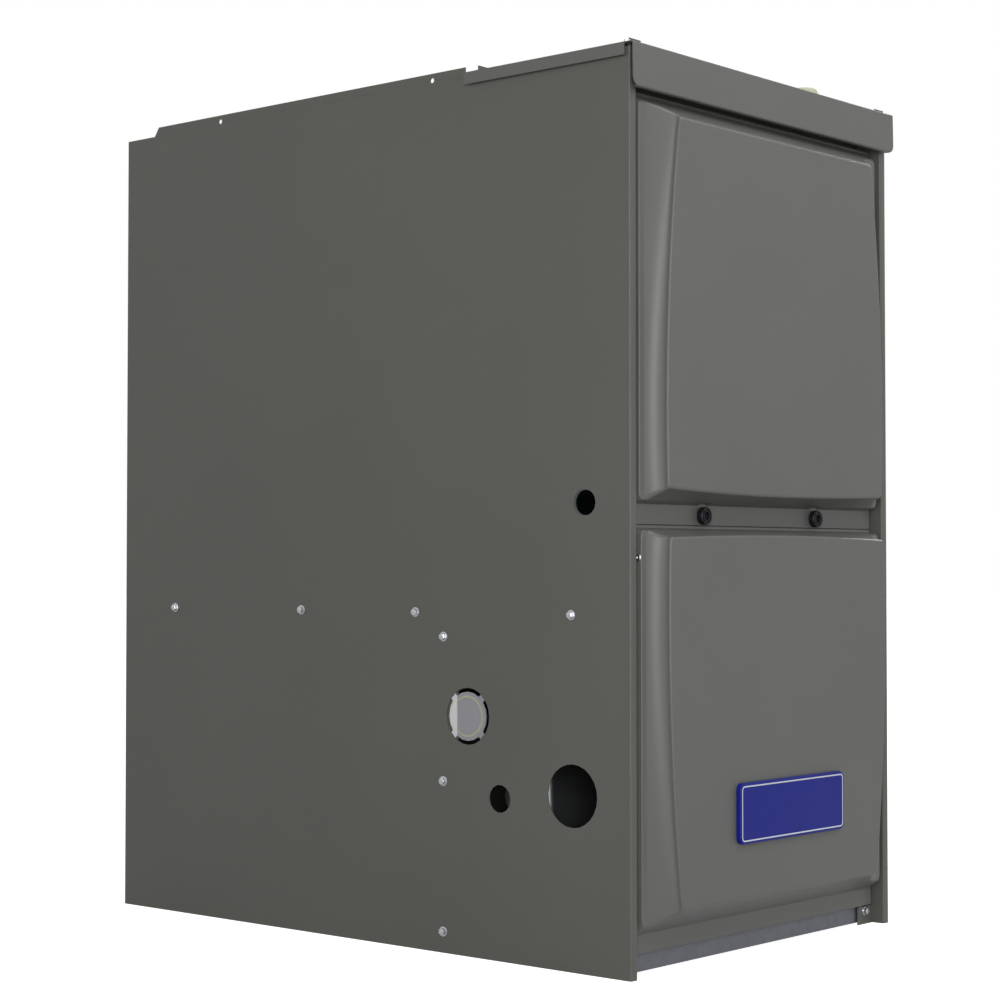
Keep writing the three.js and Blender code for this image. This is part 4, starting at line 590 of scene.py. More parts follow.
# ---------------------------------------------------------------------------------------------------------
# Shapes

ROUND_FOLD = 48  # degrees: an edge of a frame node that folds less than this is smoothed
SAME_POINT = mm(0.002)  # corners of a frame node's triangles that are nearer than this are joined
WELD = mm(0.001)  # as that, in the meshes made here


def smooth_metal_tree():
    """Geometry nodes that join a frame node's triangles at their corners and smooth its round edges."""
    tree = bpy.data.node_groups.new("smooth_round_edges", "GeometryNodeTree")
    tree.interface.new_socket("Geometry", in_out="INPUT", socket_type="NodeSocketGeometry")
    tree.interface.new_socket("Geometry", in_out="OUTPUT", socket_type="NodeSocketGeometry")
    start = add_node(tree, "NodeGroupInput")
    bare = add_node(
        tree, "GeometryNodeRemoveAttribute", {"Geometry": start.outputs[0], "Name": "custom_normal"}
    )
    merged = add_node(
        tree, "GeometryNodeMergeByDistance", {"Geometry": bare.outputs[0], "Distance": SAME_POINT}
    )
    faces = add_node(
        tree,
        "GeometryNodeSetShadeSmooth",
        {"Geometry": merged.outputs[0], "Shade Smooth": True},
        domain="FACE",
    )
    fold = add_node(tree, "GeometryNodeInputMeshEdgeAngle")
    is_round = add_node(
        tree,
        "FunctionNodeCompare",
        {"A": fold.outputs["Unsigned Angle"], "B": math.radians(ROUND_FOLD)},
        data_type="FLOAT",
        operation="LESS_EQUAL",
    )
    edges = add_node(
        tree,
        "GeometryNodeSetShadeSmooth",
        {"Geometry": faces.outputs[0], "Shade Smooth": is_round.outputs[0]},
        domain="EDGE",
    )
    add_node(tree, "NodeGroupOutput", {0: edges.outputs[0]})
    return tree


def keep_flats(obj, weight=50):
    """Shading in which the large flat faces beside a bend stay flat."""
    flats = obj.modifiers.new("Flat faces stay flat", "WEIGHTED_NORMAL")
    flats.keep_sharp = True
    flats.weight = weight


def smooth_like_metal(obj, tree):
    """Modifiers only: the mesh of the frame node stays as it is."""
    join = obj.modifiers.new("Smooth round edges", "NODES")
    join.node_group = tree
    keep_flats(obj, 100)


def new_piece(name, mesh, material, body, matrix=None):
    """A named object that rides on a body, with one material."""
    obj = bpy.data.objects.new(name, mesh)
    bpy.context.scene.collection.objects.link(obj)
    if matrix is not None:
        obj.matrix_world = matrix
    if not mesh.materials:
        mesh.materials.append(MATERIALS[material])
    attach(obj, body)
    return obj


def mesh_from(bm, name, smooth_angle=35):
    """Finishes a bmesh: faces outward, and smooth where the fold is less than an angle in degrees."""
    bmesh.ops.remove_doubles(bm, verts=bm.verts, dist=WELD)
    bmesh.ops.recalc_face_normals(bm, faces=bm.faces)
    mesh = bpy.data.meshes.new(name)
    bm.to_mesh(mesh)
    bm.free()
    mesh.shade_smooth()
    mesh.set_sharp_from_angle(angle=math.radians(smooth_angle))
    return mesh


def skin(bm, rings, close_first=True, close_last=True):
    """Quads between rings with equal numbers of points, and a flat face at each end."""
    levels = [[bm.verts.new(point) for point in ring] for ring in rings]
    count = len(levels[0])
    for low, high in zip(levels, levels[1:]):
        for i in range(count):
            j = (i + 1) % count
            bm.faces.new((low[i], low[j], high[j], high[i]))
    if close_first:
        bm.faces.new(levels[0])
    if close_last:
        bm.faces.new(levels[-1])


def turned(bm, profile, axis, centre, segments=32):
    """A profile of (radius, place along the axis) turned round an axis through a centre."""
    along = Vector(axis).normalized()
    side = along.orthogonal().normalized()
    up = along.cross(side)
    rings = []
    for radius, place in profile:
        middle = Vector(centre) + along * place
        angles = [2 * math.pi * i / segments for i in range(segments)]
        rings.append([middle + (side * math.cos(a) + up * math.sin(a)) * radius for a in angles])
    skin(bm, rings)


def quarter_bend(radius, steps):
    """Round the outside of a bend, from the face to the wall: how far each point is inset and set back."""
    angles = [math.pi / 2 * i / steps for i in range(steps + 1)]
    return [(radius * (1 - math.sin(a)), radius * (1 - math.cos(a))) for a in angles]


def rounded_rectangle(half_width, half_height, radius, steps):
    """Corner points of a rectangle with round corners, round its own middle."""
    points = []
    for corner, (x_sign, y_sign) in enumerate(((1, 1), (-1, 1), (-1, -1), (1, -1))):
        for i in range(steps + 1):
            angle = (corner + i / steps) * math.pi / 2
            x = x_sign * (half_width - radius) + radius * math.cos(angle)
            y = y_sign * (half_height - radius) + radius * math.sin(angle)
            points.append((x, y))
    return points


def seat(name, place, direction):
    """Where a line from a place in millimetres, going one way, first meets a node or piece."""
    mesh = bpy.data.objects[name].data
    tree = BVHTree.FromPolygons([v.co for v in mesh.vertices], [f.vertices for f in mesh.polygons])
    hit = tree.ray_cast(spot(*place), Vector(direction))[0]
    if hit is None:
        raise RuntimeError(f"nothing of {name} lies that way from {place}")
    return hit


def smooth_route(points, radius, name):
    """A round wire along a smooth line through points in millimetres."""
    curve = bpy.data.curves.new(name, "CURVE")
    curve.dimensions = "3D"
    curve.bevel_depth = mm(radius)
    curve.bevel_resolution = 3
    curve.resolution_u = 10
    curve.use_fill_caps = True
    spline = curve.splines.new("BEZIER")
    spline.bezier_points.add(len(points) - 1)
    for knot, point in zip(spline.bezier_points, points):
        knot.co = spot(*point)
        knot.handle_left_type = knot.handle_right_type = "AUTO"
    return curve


# ---------------------------------------------------------------------------------------------------------
# Pressed doors

# What differs between the two doors, in millimetres. The bulge and the face are the low and high edges of the
# raised panel, at the rim and at its front. Proud is in front of the flanges. The face's sides bow with a
# radius, widest at a height, and its ends arch towards the corners. The bends are those of the rim's ends.
DOOR_PRESSINGS = {
    "upper_door": {
        "bulge": (434.2, 812.6),
        "face": (443.8, 793.4),
        "face_proud": 17.3,
        "ledge_proud": -2.2,
        "side_radius": 1880,
        "widest": 520,
        "low_arch": 4.5,
        "high_arch": 0.0,
        "face_corner": 3.0,
        "low_bend": 0.3,
        "high_bend": 1.6,
    },
    "lower_door": {
        "bulge": (37.8, 411.2),
        "face": (60, 406.2),
        "face_proud": 19.6,
        "ledge_proud": -0.2,
        "side_radius": 2030,
        "widest": 330,
        "low_arch": 0.0,
        "high_arch": 3.4,
        "face_corner": 4.0,
        "low_bend": 1.6,
        "high_bend": 2.6,
    },
}
KNOB_ACROSS, KNOB_HEIGHT = 96.7, 424.2  # of each knob's axis
RIM_CORNER = 2.2
RIM_BEND = 1.6
LEDGE_BEND = 1.0
FOOT_FILLET = 0.8  # where the raised panel's wall meets the rim
BEND_STEPS, COVE_STEPS, SIDE_STEPS, CORNER_STEPS = 5, 18, 40, 10
FACE_BEND_SHARE = 0.7  # of the edge bend that the face's edge turns through
FACE_WALL_SHORT = 0.4  # how far short of the cove the face's straight edge ends
COVE_FLATNESS = 0.5  # 0 would be a quarter round, 1 a straight bevel
RIM_CORNER_SHARE = 0.6  # of the rim's bend that its corners lose on the way forward


def end_places(reach):
    """Places across a door's top or bottom edge, from left to right, close together at the knobs."""
    even = [0.875, 0.75, 0.625, 0.375, 0.25, 0.125]
    near_knob = [KNOB_ACROSS + step for step in range(-9, 10)]
    right = sorted([*[reach * share for share in even], *near_knob])
    return [*[-x for x in reversed(right)], 0.0, *right]


def door_ring(level):
    """A closed outline at one depth: sides that may bow, ends that may arch and keep clear of the knobs."""
    width, low, high, corner = level["width"], level["low"], level["high"], level["corner"]

    def side(z):
        return width - level["bow"] * (z - level["widest"]) ** 2

    def arch(x):
        return (x / width) ** 2

    def knob_arc(x):
        """How far the knob's relief reaches above and below the knob at this place across."""
        off = abs(abs(x) - KNOB_ACROSS)
        return math.sqrt(level["relief"] ** 2 - off**2) if off < level["relief"] else None

    def top_edge(x):
        return high - level["high_arch"] * arch(x)

    def low_edge(x):
        z = low + level["low_arch"] * arch(x)
        arc = knob_arc(x)
        return max(z, KNOB_HEIGHT + arc) if arc and z > KNOB_HEIGHT else z

    top_x = side(high) - corner
    low_x = side(low) - corner
    top_z = high - level["high_arch"] * arch(top_x) - corner
    low_z = low + level["low_arch"] * arch(low_x) + corner
    right = []
    for i in range(1, SIDE_STEPS):
        z = low_z + (top_z - low_z) * i / SIDE_STEPS
        right.append((side(z), z))

    def quarter(cx, cz, start):
        angles = [start + math.pi / 2 * i / CORNER_STEPS for i in range(CORNER_STEPS + 1)]
        return [(cx + corner * math.cos(a), cz + corner * math.sin(a)) for a in angles]

    loop = [
        *right,
        *quarter(top_x, top_z, 0),
        *[(x, top_edge(x)) for x in reversed(end_places(top_x))],
        *quarter(-top_x, top_z, math.pi / 2),
        *[(-x, z) for x, z in reversed(right)],
        *quarter(-low_x, low_z, math.pi),
        *[(x, low_edge(x)) for x in end_places(low_x)],
        *quarter(low_x, low_z, 1.5 * math.pi),
    ]
    return [spot(x, level["y"], z) for x, z in loop]


def door_levels(node, sizes):
    """The outlines from the raised face out to the folded edge, all in millimetres."""
    spec = DOOR_PRESSINGS[node]
    low_corner, high_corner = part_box(node)
    edge = in_mm(high_corner.x)
    rim_y = in_mm(sizes.rim_setback)
    face_y = -spec["face_proud"]
    ledge_y = -spec["ledge_proud"]
    bend = in_mm(sizes.edge_bend)
    corner = in_mm(sizes.pressing_corner)
    side_wall = in_mm(sizes.side_wall)
    raised = edge - side_wall
    face_half = raised - in_mm(sizes.face_inset) + side_wall
    cove_half = raised - in_mm(sizes.ledge_inset)
    wall_end = face_y + bend + in_mm(sizes.face_wall)

    def level(y, width, share, inset=0.0):
        """The outline at one depth. A share of 0 has straight sides like the rim's, and 1 the face's bows."""
        slope = (rim_y - y) / (rim_y - face_y)
        return {
            "y": y,
            "width": width - inset,
            "low": spec["bulge"][0] + (spec["face"][0] - spec["bulge"][0]) * slope + inset,
            "high": spec["bulge"][1] + (spec["face"][1] - spec["bulge"][1]) * slope - inset,
            "corner": corner + (spec["face_corner"] - corner) * share,
            "bow": share / (2 * spec["side_radius"]),
            "widest": spec["widest"],
            "low_arch": spec["low_arch"] * share,
            "high_arch": spec["high_arch"] * share,
            "relief": in_mm(sizes.knob_relief) + inset,
        }

    levels = [
        level(face_y + back, face_half, 1, inset)
        for inset, back in quarter_bend(bend * FACE_BEND_SHARE, BEND_STEPS)
    ]
    levels.append(level(wall_end - FACE_WALL_SHORT, face_half, 1))
    for i in range(1, COVE_STEPS + 1):
        share = i / COVE_STEPS
        angle = math.pi / 2 * share
        out = (1 - math.cos(angle)) * (1 - COVE_FLATNESS) + share * COVE_FLATNESS
        back = math.sin(angle) * (1 - COVE_FLATNESS) + share * COVE_FLATNESS
        y = wall_end + (ledge_y - wall_end) * back
        levels.append(level(y, face_half + (cove_half - face_half) * out, 1 - out))
    for inset, back in quarter_bend(LEDGE_BEND, BEND_STEPS):
        levels.append(level(ledge_y + back, raised, 0, inset))
    levels.append(level(rim_y - FOOT_FILLET, raised, 0))
    levels.append(level(rim_y, raised, 0, -FOOT_FILLET))
    high = in_mm(high_corner.z)
    if node == "lower_door":
        high = in_mm(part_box("upper_door")[0].z - sizes.split_gap)
    rim = {**level(rim_y, edge, 0), "low": in_mm(low_corner.z), "high": high, "corner": RIM_CORNER}
    for turn, back in quarter_bend(1, BEND_STEPS):
        rounded = {
            "y": rim_y + RIM_BEND * back,
            "width": edge - RIM_BEND * turn,
            "low": rim["low"] + spec["low_bend"] * turn,
            "high": rim["high"] - spec["high_bend"] * turn,
            "corner": rim["corner"] - RIM_BEND * turn * RIM_CORNER_SHARE,
        }
        levels.append({**rim, **rounded})
    levels.append({**rim, "y": rim_y + in_mm(sizes.hem)})
    return levels


class FURNACE_OT_doors(bpy.types.Operator):
    """Press the two doors from sheet: a rim with a folded hem and a raised panel with coves"""

    bl_idname = "furnace.doors"
    bl_label = "Doors"

    def execute(self, context):
        sizes = context.scene.furnace_door
        for node in DOOR_PRESSINGS:
            bm = bmesh.new()
            skin(bm, [door_ring(level) for level in door_levels(node, sizes)], close_last=False)
            mesh = mesh_from(bm, node + "_sheet", 60)
            obj = new_piece(node + "_pressing", mesh, "door_paint", node)
            sheet = obj.modifiers.new("Sheet thickness", "SOLIDIFY")
            sheet.thickness = sizes.sheet
            sheet.offset = -1.0
            keep_flats(obj)
            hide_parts(node)
        return {"FINISHED"}


# ---------------------------------------------------------------------------------------------------------
# Small folded sheets that close the gaps round the doors

CLOSURE_SHEET = 1.0
SEAT_STRIP = {"front": 24.6, "low": 800.0, "top": 850.8, "half_width": 207.0}
CORNER_TAB = {"front": 1.05, "low": 835.0, "top": 861.0, "across": (221.0, 204.0)}
RAIL_END = {"front": 17.1, "across": (183.5, 191.0)}


def folded_sheet(outline, across, name):
    """A sheet between two places across, its section given as (behind the flanges, height) points."""
    bm = bmesh.new()
    skin(bm, [[spot(x, back, height) for back, height in outline] for x in across])
    return mesh_from(bm, name, 30)


def flat_section(front, low, top):
    back = front + CLOSURE_SHEET
    return [(front, low), (back, low), (back, top), (front, top)]


def seat_section(front, low, top, back):
    """An angle: a sheet that stands behind the gap, bent back at its top to the front header."""
    return [
        (front, low),
        (front + CLOSURE_SHEET, low),
        (front + CLOSURE_SHEET, top - 1.8),
        (front + 1.6, top - CLOSURE_SHEET),
        (back, top - CLOSURE_SHEET),
        (back, top),
        (front + 1.3, top),
        (front + 0.3, top - 0.6),
        (front, top - 1.2),
    ]


class FURNACE_OT_closures(bpy.types.Operator):
    """Fold the painted strip and tabs behind the gaps over the upper door, and the end of the base rail"""

    bl_idname = "furnace.closures"
    bl_label = "Closing strips"

    def execute(self, context):
        header_front = in_mm(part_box("front_header")[0].y - FRONT)
        section = seat_section(SEAT_STRIP["front"], SEAT_STRIP["low"], SEAT_STRIP["top"], header_front)
        half_width = SEAT_STRIP["half_width"]
        strip = folded_sheet(section, (-half_width, half_width), "top_seat_strip")
        new_piece("top_seat_strip", strip, "casing_paint", "cabinet")
        section = flat_section(CORNER_TAB["front"], CORNER_TAB["low"], CORNER_TAB["top"])
        for side_name, sign in (("left", -1), ("right", 1)):
            name = f"{side_name}_corner_tab"
            tab = folded_sheet(section, [sign * x for x in CORNER_TAB["across"]], name)
            new_piece(name, tab, "casing_paint", "cabinet")
        low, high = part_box("base_pan")
        section = flat_section(RAIL_END["front"], in_mm(low.z), in_mm(high.z))
        end = folded_sheet(section, RAIL_END["across"], "base_rail_end")
        new_piece("base_rail_end", end, "galvanised", "cabinet")
        return {"FINISHED"}


# ---------------------------------------------------------------------------------------------------------
# Finish of the frame's own nodes


class FURNACE_OT_finishes(bpy.types.Operator):
    """Give every node of the frame its material, and round shading where its surface is round"""

    bl_idname = "furnace.finishes"
    bl_label = "Finishes"

    def execute(self, context):
        MATERIALS.update(make_materials(context.scene.furnace_colours))
        tree = smooth_metal_tree()
        for part in frame["record"]["subparts"]:
            obj = frame["nodes"][part["node"]]
            obj.data.materials.clear()
            obj.data.materials.append(MATERIALS[part["material_slot"]])
            smooth_like_metal(obj, tree)
        return {"FINISHED"}


# ---------------------------------------------------------------------------------------------------------
# Fasteners

UP = (0, 0, 1)
ORIGIN = (0, 0, 0)


def hex_washer_screw(sizes):
    """The head of a sheet metal screw: a hex with chamfered corners on a round flange."""
    bm = bmesh.new()
    r, h = sizes.washer_radius, sizes.washer_height
    top = h + sizes.head_height
    turned(bm, [(r * 0.98, 0), (r, h * 0.35), (r * 0.96, h * 0.75), (r * 0.72, h)], UP, ORIGIN)
    corner = sizes.hex_flats / 2 / math.cos(math.pi / 6)
    chamfer = mm(0.45)

    def hexagon(radius, z):
        angles = [math.pi / 3 * i for i in range(6)]
        return [Vector((radius * math.cos(a), radius * math.sin(a), z)) for a in angles]

    skin(bm, [hexagon(corner, h * 0.6), hexagon(corner, top - chamfer), hexagon(corner * 0.86, top)])
    dome = [(corner * 0.62, top - mm(0.02)), (corner * 0.5, top + mm(0.12)), (corner * 0.2, top + mm(0.16))]
    turned(bm, dome, UP, ORIGIN, 24)
    return mesh_from(bm, "hex_washer_screw_head")


PAN_HEIGHT_SHARE = 0.55  # of a pan head's radius


def pan_head_screw(radius):
    """The head of a pan head screw with a round recess in its top."""
    bm = bmesh.new()
    height = radius * PAN_HEIGHT_SHARE
    profile = [(radius, 0), (radius, height * 0.45), (radius * 0.93, height * 0.75), (radius * 0.72, height)]
    recess = [(radius * 0.5, height * 1.02), (radius * 0.42, height * 0.8), (radius * 0.12, height * 0.45)]
    turned(bm, [*profile, *recess], UP, ORIGIN, 24)
    return mesh_from(bm, "pan_head_screw_head")


def facing(place, direction):
    """A matrix that stands a screw head on a surface, its top towards a direction."""
    turn = Vector(direction).to_track_quat("Z", "Y").to_matrix().to_4x4()
    return Matrix.Translation(Vector(place)) @ turn


# Screws through each side, by their place behind the front flanges and above the floor, in millimetres
DECK_SCREWS_BACK = (69.8, 268.1, 430.0, 628.1)
DECK_SCREW_HEIGHT = 330.8
PANEL_SCREW_BACK = 230.4
PANEL_SCREW_HEIGHTS = (20.7, 166.7, 307.4)
SCREW_TURN = 0.7  # radians from one screw to the next, so that their flats point different ways
COVER_SCREW_SCALE = (0.85, 0.85, 0.75, 1)  # the screws of the top cover are smaller
BACKWARDS, DOWN = (0, 1, 0), (0, 0, -1)

# Hex screws of the cabinet: the node that each sits on, a place before it, and the way it is driven
HEX_SCREWS = {
    "foot_screw": ("cabinet_wrapper", (197.8, -10, 13.5), BACKWARDS),
    "cover_screw_left": ("top_front_cover", (-221.6, 3.2, 890), DOWN),
    "cover_screw_right": ("top_front_cover", (221.6, 3.2, 890), DOWN),
    "cover_rear_screw_left": ("top_front_cover", (-216, 192, 890), DOWN),
    "cover_rear_screw_right": ("top_front_cover", (216, 192, 890), DOWN),
}

# The pan head screw in the lower door's left edge, driven to the right
DOOR_EDGE_SCREW = (-214, 3.2, 384.2)
DOOR_EDGE_SCREW_RADIUS = 3.1

# Sets of pan head screws, driven backwards: the node that they sit on, the radius of the head, a distance
# behind the flanges from which the way back to the node is free, and each screw's place across and height
PAN_SCREWS = {
    "board_screw": ("control_board", 2.6, 150, [(-170, 408), (-30, 408), (-170, 516), (-30, 516)]),
    "tray_screw": ("control_tray", 3.4, 150, [(-181, 352), (137, 352), (-181, 538), (137, 538), (20, 538)]),
    "junction_box_screw": ("junction_box", 3.0, 20, [(-198, 406), (-198, 464)]),
    "crossbar_screw": ("door_crossbar", 3.4, 0, [(-204, 414), (-204, 434), (204, 414), (204, 434)]),
    "panel_face_screw": (
        "vestibule_panel",
        3.4,
        150,
        [(-198, 110), (-198, 30), (198, 30), (198, 200), (198, 322), (-198, 322)],
    ),
    "collector_screw": ("collector_box", 3.0, 150, [(-138, 233), (-138, 313), (138, 313), (138, 233)]),
    "header_screw": ("front_header", 3.4, 10, [(-180, 840), (-60, 840), (60, 840), (180, 840)]),
}


class FURNACE_OT_side_screws(bpy.types.Operator):
    """Drive the hex washer screws that hold the deck and the inner wall through both sides"""

    bl_idname = "furnace.side_screws"
    bl_label = "Side screws"

    def execute(self, context):
        head = hex_washer_screw(context.scene.furnace_fastener)
        places = [(back, DECK_SCREW_HEIGHT) for back in DECK_SCREWS_BACK]
        places += [(PANEL_SCREW_BACK, height) for height in PANEL_SCREW_HEIGHTS]
        for side_name, sign in (("left", -1), ("right", 1)):
            for number, (back, height) in enumerate(places, 1):
                place = (sign * SIDE, behind_front(back), mm(height))
                turn = facing(place, (sign, 0, 0)) @ Matrix.Rotation(number * SCREW_TURN, 4, "Z")
                new_piece(f"{side_name}_screw_{number}", head, "zinc_plate", "cabinet", turn)
        return {"FINISHED"}


class FURNACE_OT_small_screws(bpy.types.Operator):
    """Drive the screws of the foot, the top cover, the lower door's edge and the inner pieces"""

    bl_idname = "furnace.small_screws"
    bl_label = "Small screws"

    def execute(self, context):
        head = hex_washer_screw(context.scene.furnace_fastener)
        for name, (node, place, way) in HEX_SCREWS.items():
            scale = Matrix.Diagonal(COVER_SCREW_SCALE) if way == DOWN else Matrix.Identity(4)
            turn = facing(seat(node, place, way), -Vector(way)) @ scale
            new_piece(name, head, "zinc_plate", "cabinet", turn)
        head = pan_head_screw(mm(DOOR_EDGE_SCREW_RADIUS))
        turn = facing(seat("lower_door_pressing", DOOR_EDGE_SCREW, (1, 0, 0)), (-1, 0, 0))
        new_piece("door_edge_screw", head, "zinc_plate", "lower_door", turn)
        for name, (node, radius, before, places) in PAN_SCREWS.items():
            head = pan_head_screw(mm(radius))
            for number, (across, height) in enumerate(places, 1):
                hit = seat(node, (across, before, height), BACKWARDS)
                turn = facing(hit, -Vector(BACKWARDS))
                new_piece(f"{name}_{number}", head, "zinc_plate", "cabinet", turn)
        return {"FINISHED"}


# ---------------------------------------------------------------------------------------------------------
# Knobs

# (radius, behind the knob's front), from the neck over the rim and the ring to the floor of the recess
KNOB_PROFILE = [
    (7.15, 6.6),
    (7.15, 6.1),
    (8.25, 6.1),
    (8.5, 5.8),
    (8.5, 0.9),
    (8.25, 0.3),
    (7.8, 0),
    (7.2, 0),
    (6.95, 0.2),
    (6.85, 1.3),
    (5.75, 1.3),
    (5.65, 0.25),
    (5.4, 0.05),
    (4.65, 0.05),
    (4.4, 0.25),
    (4.3, 2.8),
]
KNOB_SLOT = {"width": 1.6, "length": 6.4, "depth": 0.8}
KNOB_STEPS = 48


class FURNACE_OT_knobs(bpy.types.Operator):
    """Mould the two quarter turn knobs: a rim, a ring in a groove, and a recess with a slot"""

    bl_idname = "furnace.knobs"
    bl_label = "Knobs"

    def execute(self, context):
        angles = [2 * math.pi * i / KNOB_STEPS for i in range(KNOB_STEPS)]
        never_zero = 1e-6

        def slot_reach(angle):
            """From the knob's axis to the edge of its slot."""
            across = max(abs(math.cos(angle)), never_zero)
            along = max(abs(math.sin(angle)), never_zero)
            return min(KNOB_SLOT["width"] / 2 / across, KNOB_SLOT["length"] / 2 / along)

        slot = [slot_reach(a) for a in angles]
        floor = KNOB_PROFILE[-1][1]
        outlines = [([radius] * KNOB_STEPS, deep) for radius, deep in KNOB_PROFILE]
        outlines += [(slot, floor), (slot, floor + KNOB_SLOT["depth"])]
        for node in ("left_knob", "right_knob"):
            low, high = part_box(node)
            middle = (low + high) / 2

            def point(angle, reach, deep):
                x = middle.x + mm(reach * math.cos(angle))
                z = middle.z + mm(reach * math.sin(angle))
                return Vector((x, low.y + mm(deep), z))

            bm = bmesh.new()
            skin(bm, [[point(a, r, deep) for a, r in zip(angles, reaches)] for reaches, deep in outlines])
            mesh = mesh_from(bm, node + "_moulding", 40)
            obj = new_piece(node + "_moulding", mesh, "black_plastic", node)
            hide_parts(node)
        return {"FINISHED"}


# ---------------------------------------------------------------------------------------------------------
# Badge

LINE_GAP = mm(0.02)  # from the front of the frame's badge to the front of the line
LINE_PROUD = mm(0.25)  # from there to the plate's face
LINE_SUNK = mm(0.1)  # how deep the line stands in the plate


class FURNACE_OT_badge(bpy.types.Operator):
    """Make the blank blue badge and the bright line round its face"""

    bl_idname = "furnace.badge"
    bl_label = "Badge"

    def execute(self, context):
        sizes = context.scene.furnace_badge
        low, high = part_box("blank_badge")
        middle = (low + high) / 2
        half_width, half_height = (high.x - low.x) / 2, (high.z - low.z) / 2
        front = low.y + LINE_GAP
        face = low.y + LINE_PROUD

        def ring(inset, y):
            points = rounded_rectangle(half_width - inset, half_height - inset, sizes.corner - inset, 12)
            return [Vector((middle.x + x, y, middle.z + z)) for x, z in points]

        bm = bmesh.new()
        bend = quarter_bend(sizes.edge, 6)
        skin(bm, [*[ring(inset, face + back) for inset, back in bend], ring(0, high.y)])
        mesh = mesh_from(bm, "badge_plate", 40)
        plate = new_piece("badge_plate", mesh, "badge", "lower_door")
        keep_flats(plate)
        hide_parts("blank_badge")

        bm = bmesh.new()
        outer, inner = sizes.line_inset, sizes.line_inset + sizes.line_width
        sunk = face + LINE_SUNK
        section = [(outer, sunk), (outer, front), (inner, front), (inner, sunk), (outer, sunk)]
        skin(bm, [ring(inset, y) for inset, y in section], close_first=False, close_last=False)
        new_piece("badge_line", mesh_from(bm, "badge_line"), "badge_line", "lower_door")
        return {"FINISHED"}


# ---------------------------------------------------------------------------------------------------------
# Hoses and wires

# Each hose: its two ends, the pull at each end that shapes its curve, its radius and its length
HOSES = {
    "pressure_hose": ((-174, 208.8, 254), (-121, 205.8, 244), (0, -46, 0), (0, -46, 0), 3.0, 98),
    "drain_hose": ((127, 226.6, 227.7), (180.25, 118, 150.3), (0, 0, -66), (0, 0, 66), 5.0, 162),
}
HOSE_POINTS = 32
CLAMP_WIRES = (5.0, 7.6)  # where the two turns of a clamp lie, from the end of its hose
CLAMP_THICK = 1.1
CLAMP_HALF_WIDTH = 0.7
CLAMP_SLIP = 0.1  # between the clamp and its hose


class FURNACE_OT_hoses(bpy.types.Operator):
    """Run the two hoses of the burner compartment, each with a spring clamp at its ends"""

    bl_idname = "furnace.hoses"
    bl_label = "Hoses"

    def execute(self, context):
        slots = {part["node"]: part["material_slot"] for part in frame["record"]["subparts"]}
        for node, (start, end, leave, enter, radius, length_mm) in HOSES.items():
            first, last = spot(*start), spot(*end)
            pull_out = first + Vector(mm(*leave))
            pull_in = last + Vector(mm(*enter))
            curve = bpy.data.curves.new(node + "_tube", "CURVE")
            curve.dimensions = "3D"
            curve.bevel_depth = mm(radius)
            curve.bevel_resolution = 8
            curve.use_fill_caps = True
            spline = curve.splines.new("POLY")
            spline.points.add(HOSE_POINTS - 1)
            for i, knot in enumerate(spline.points):
                t = i / (HOSE_POINTS - 1)
                place = (
                    (1 - t) ** 3 * first
                    + 3 * (1 - t) ** 2 * t * pull_out
                    + 3 * (1 - t) * t**2 * pull_in
                    + t**3 * last
                )
                knot.co = (*place, 1.0)
            spline.use_smooth = True
            slot = slots[node]
            hose = new_piece(node + "_tube", curve, slot, "cabinet")
            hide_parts(node)
            inner, half = radius + CLAMP_SLIP, CLAMP_HALF_WIDTH
            outer = inner + CLAMP_THICK
            band = [mm(inner, -half), mm(outer, -half), mm(outer, half), mm(inner, half)]
            for place, way, name in ((first, leave, "out"), (last, enter, "in")):
                bm = bmesh.new()
                along = Vector(way).normalized()
                for step in CLAMP_WIRES:
                    turned(bm, band, along, place + along * mm(step), 24)
                new_piece(f"{node}_clamp_{name}", mesh_from(bm, "spring_clamp"), "zinc_plate", "cabinet")
        return {"FINISHED"}


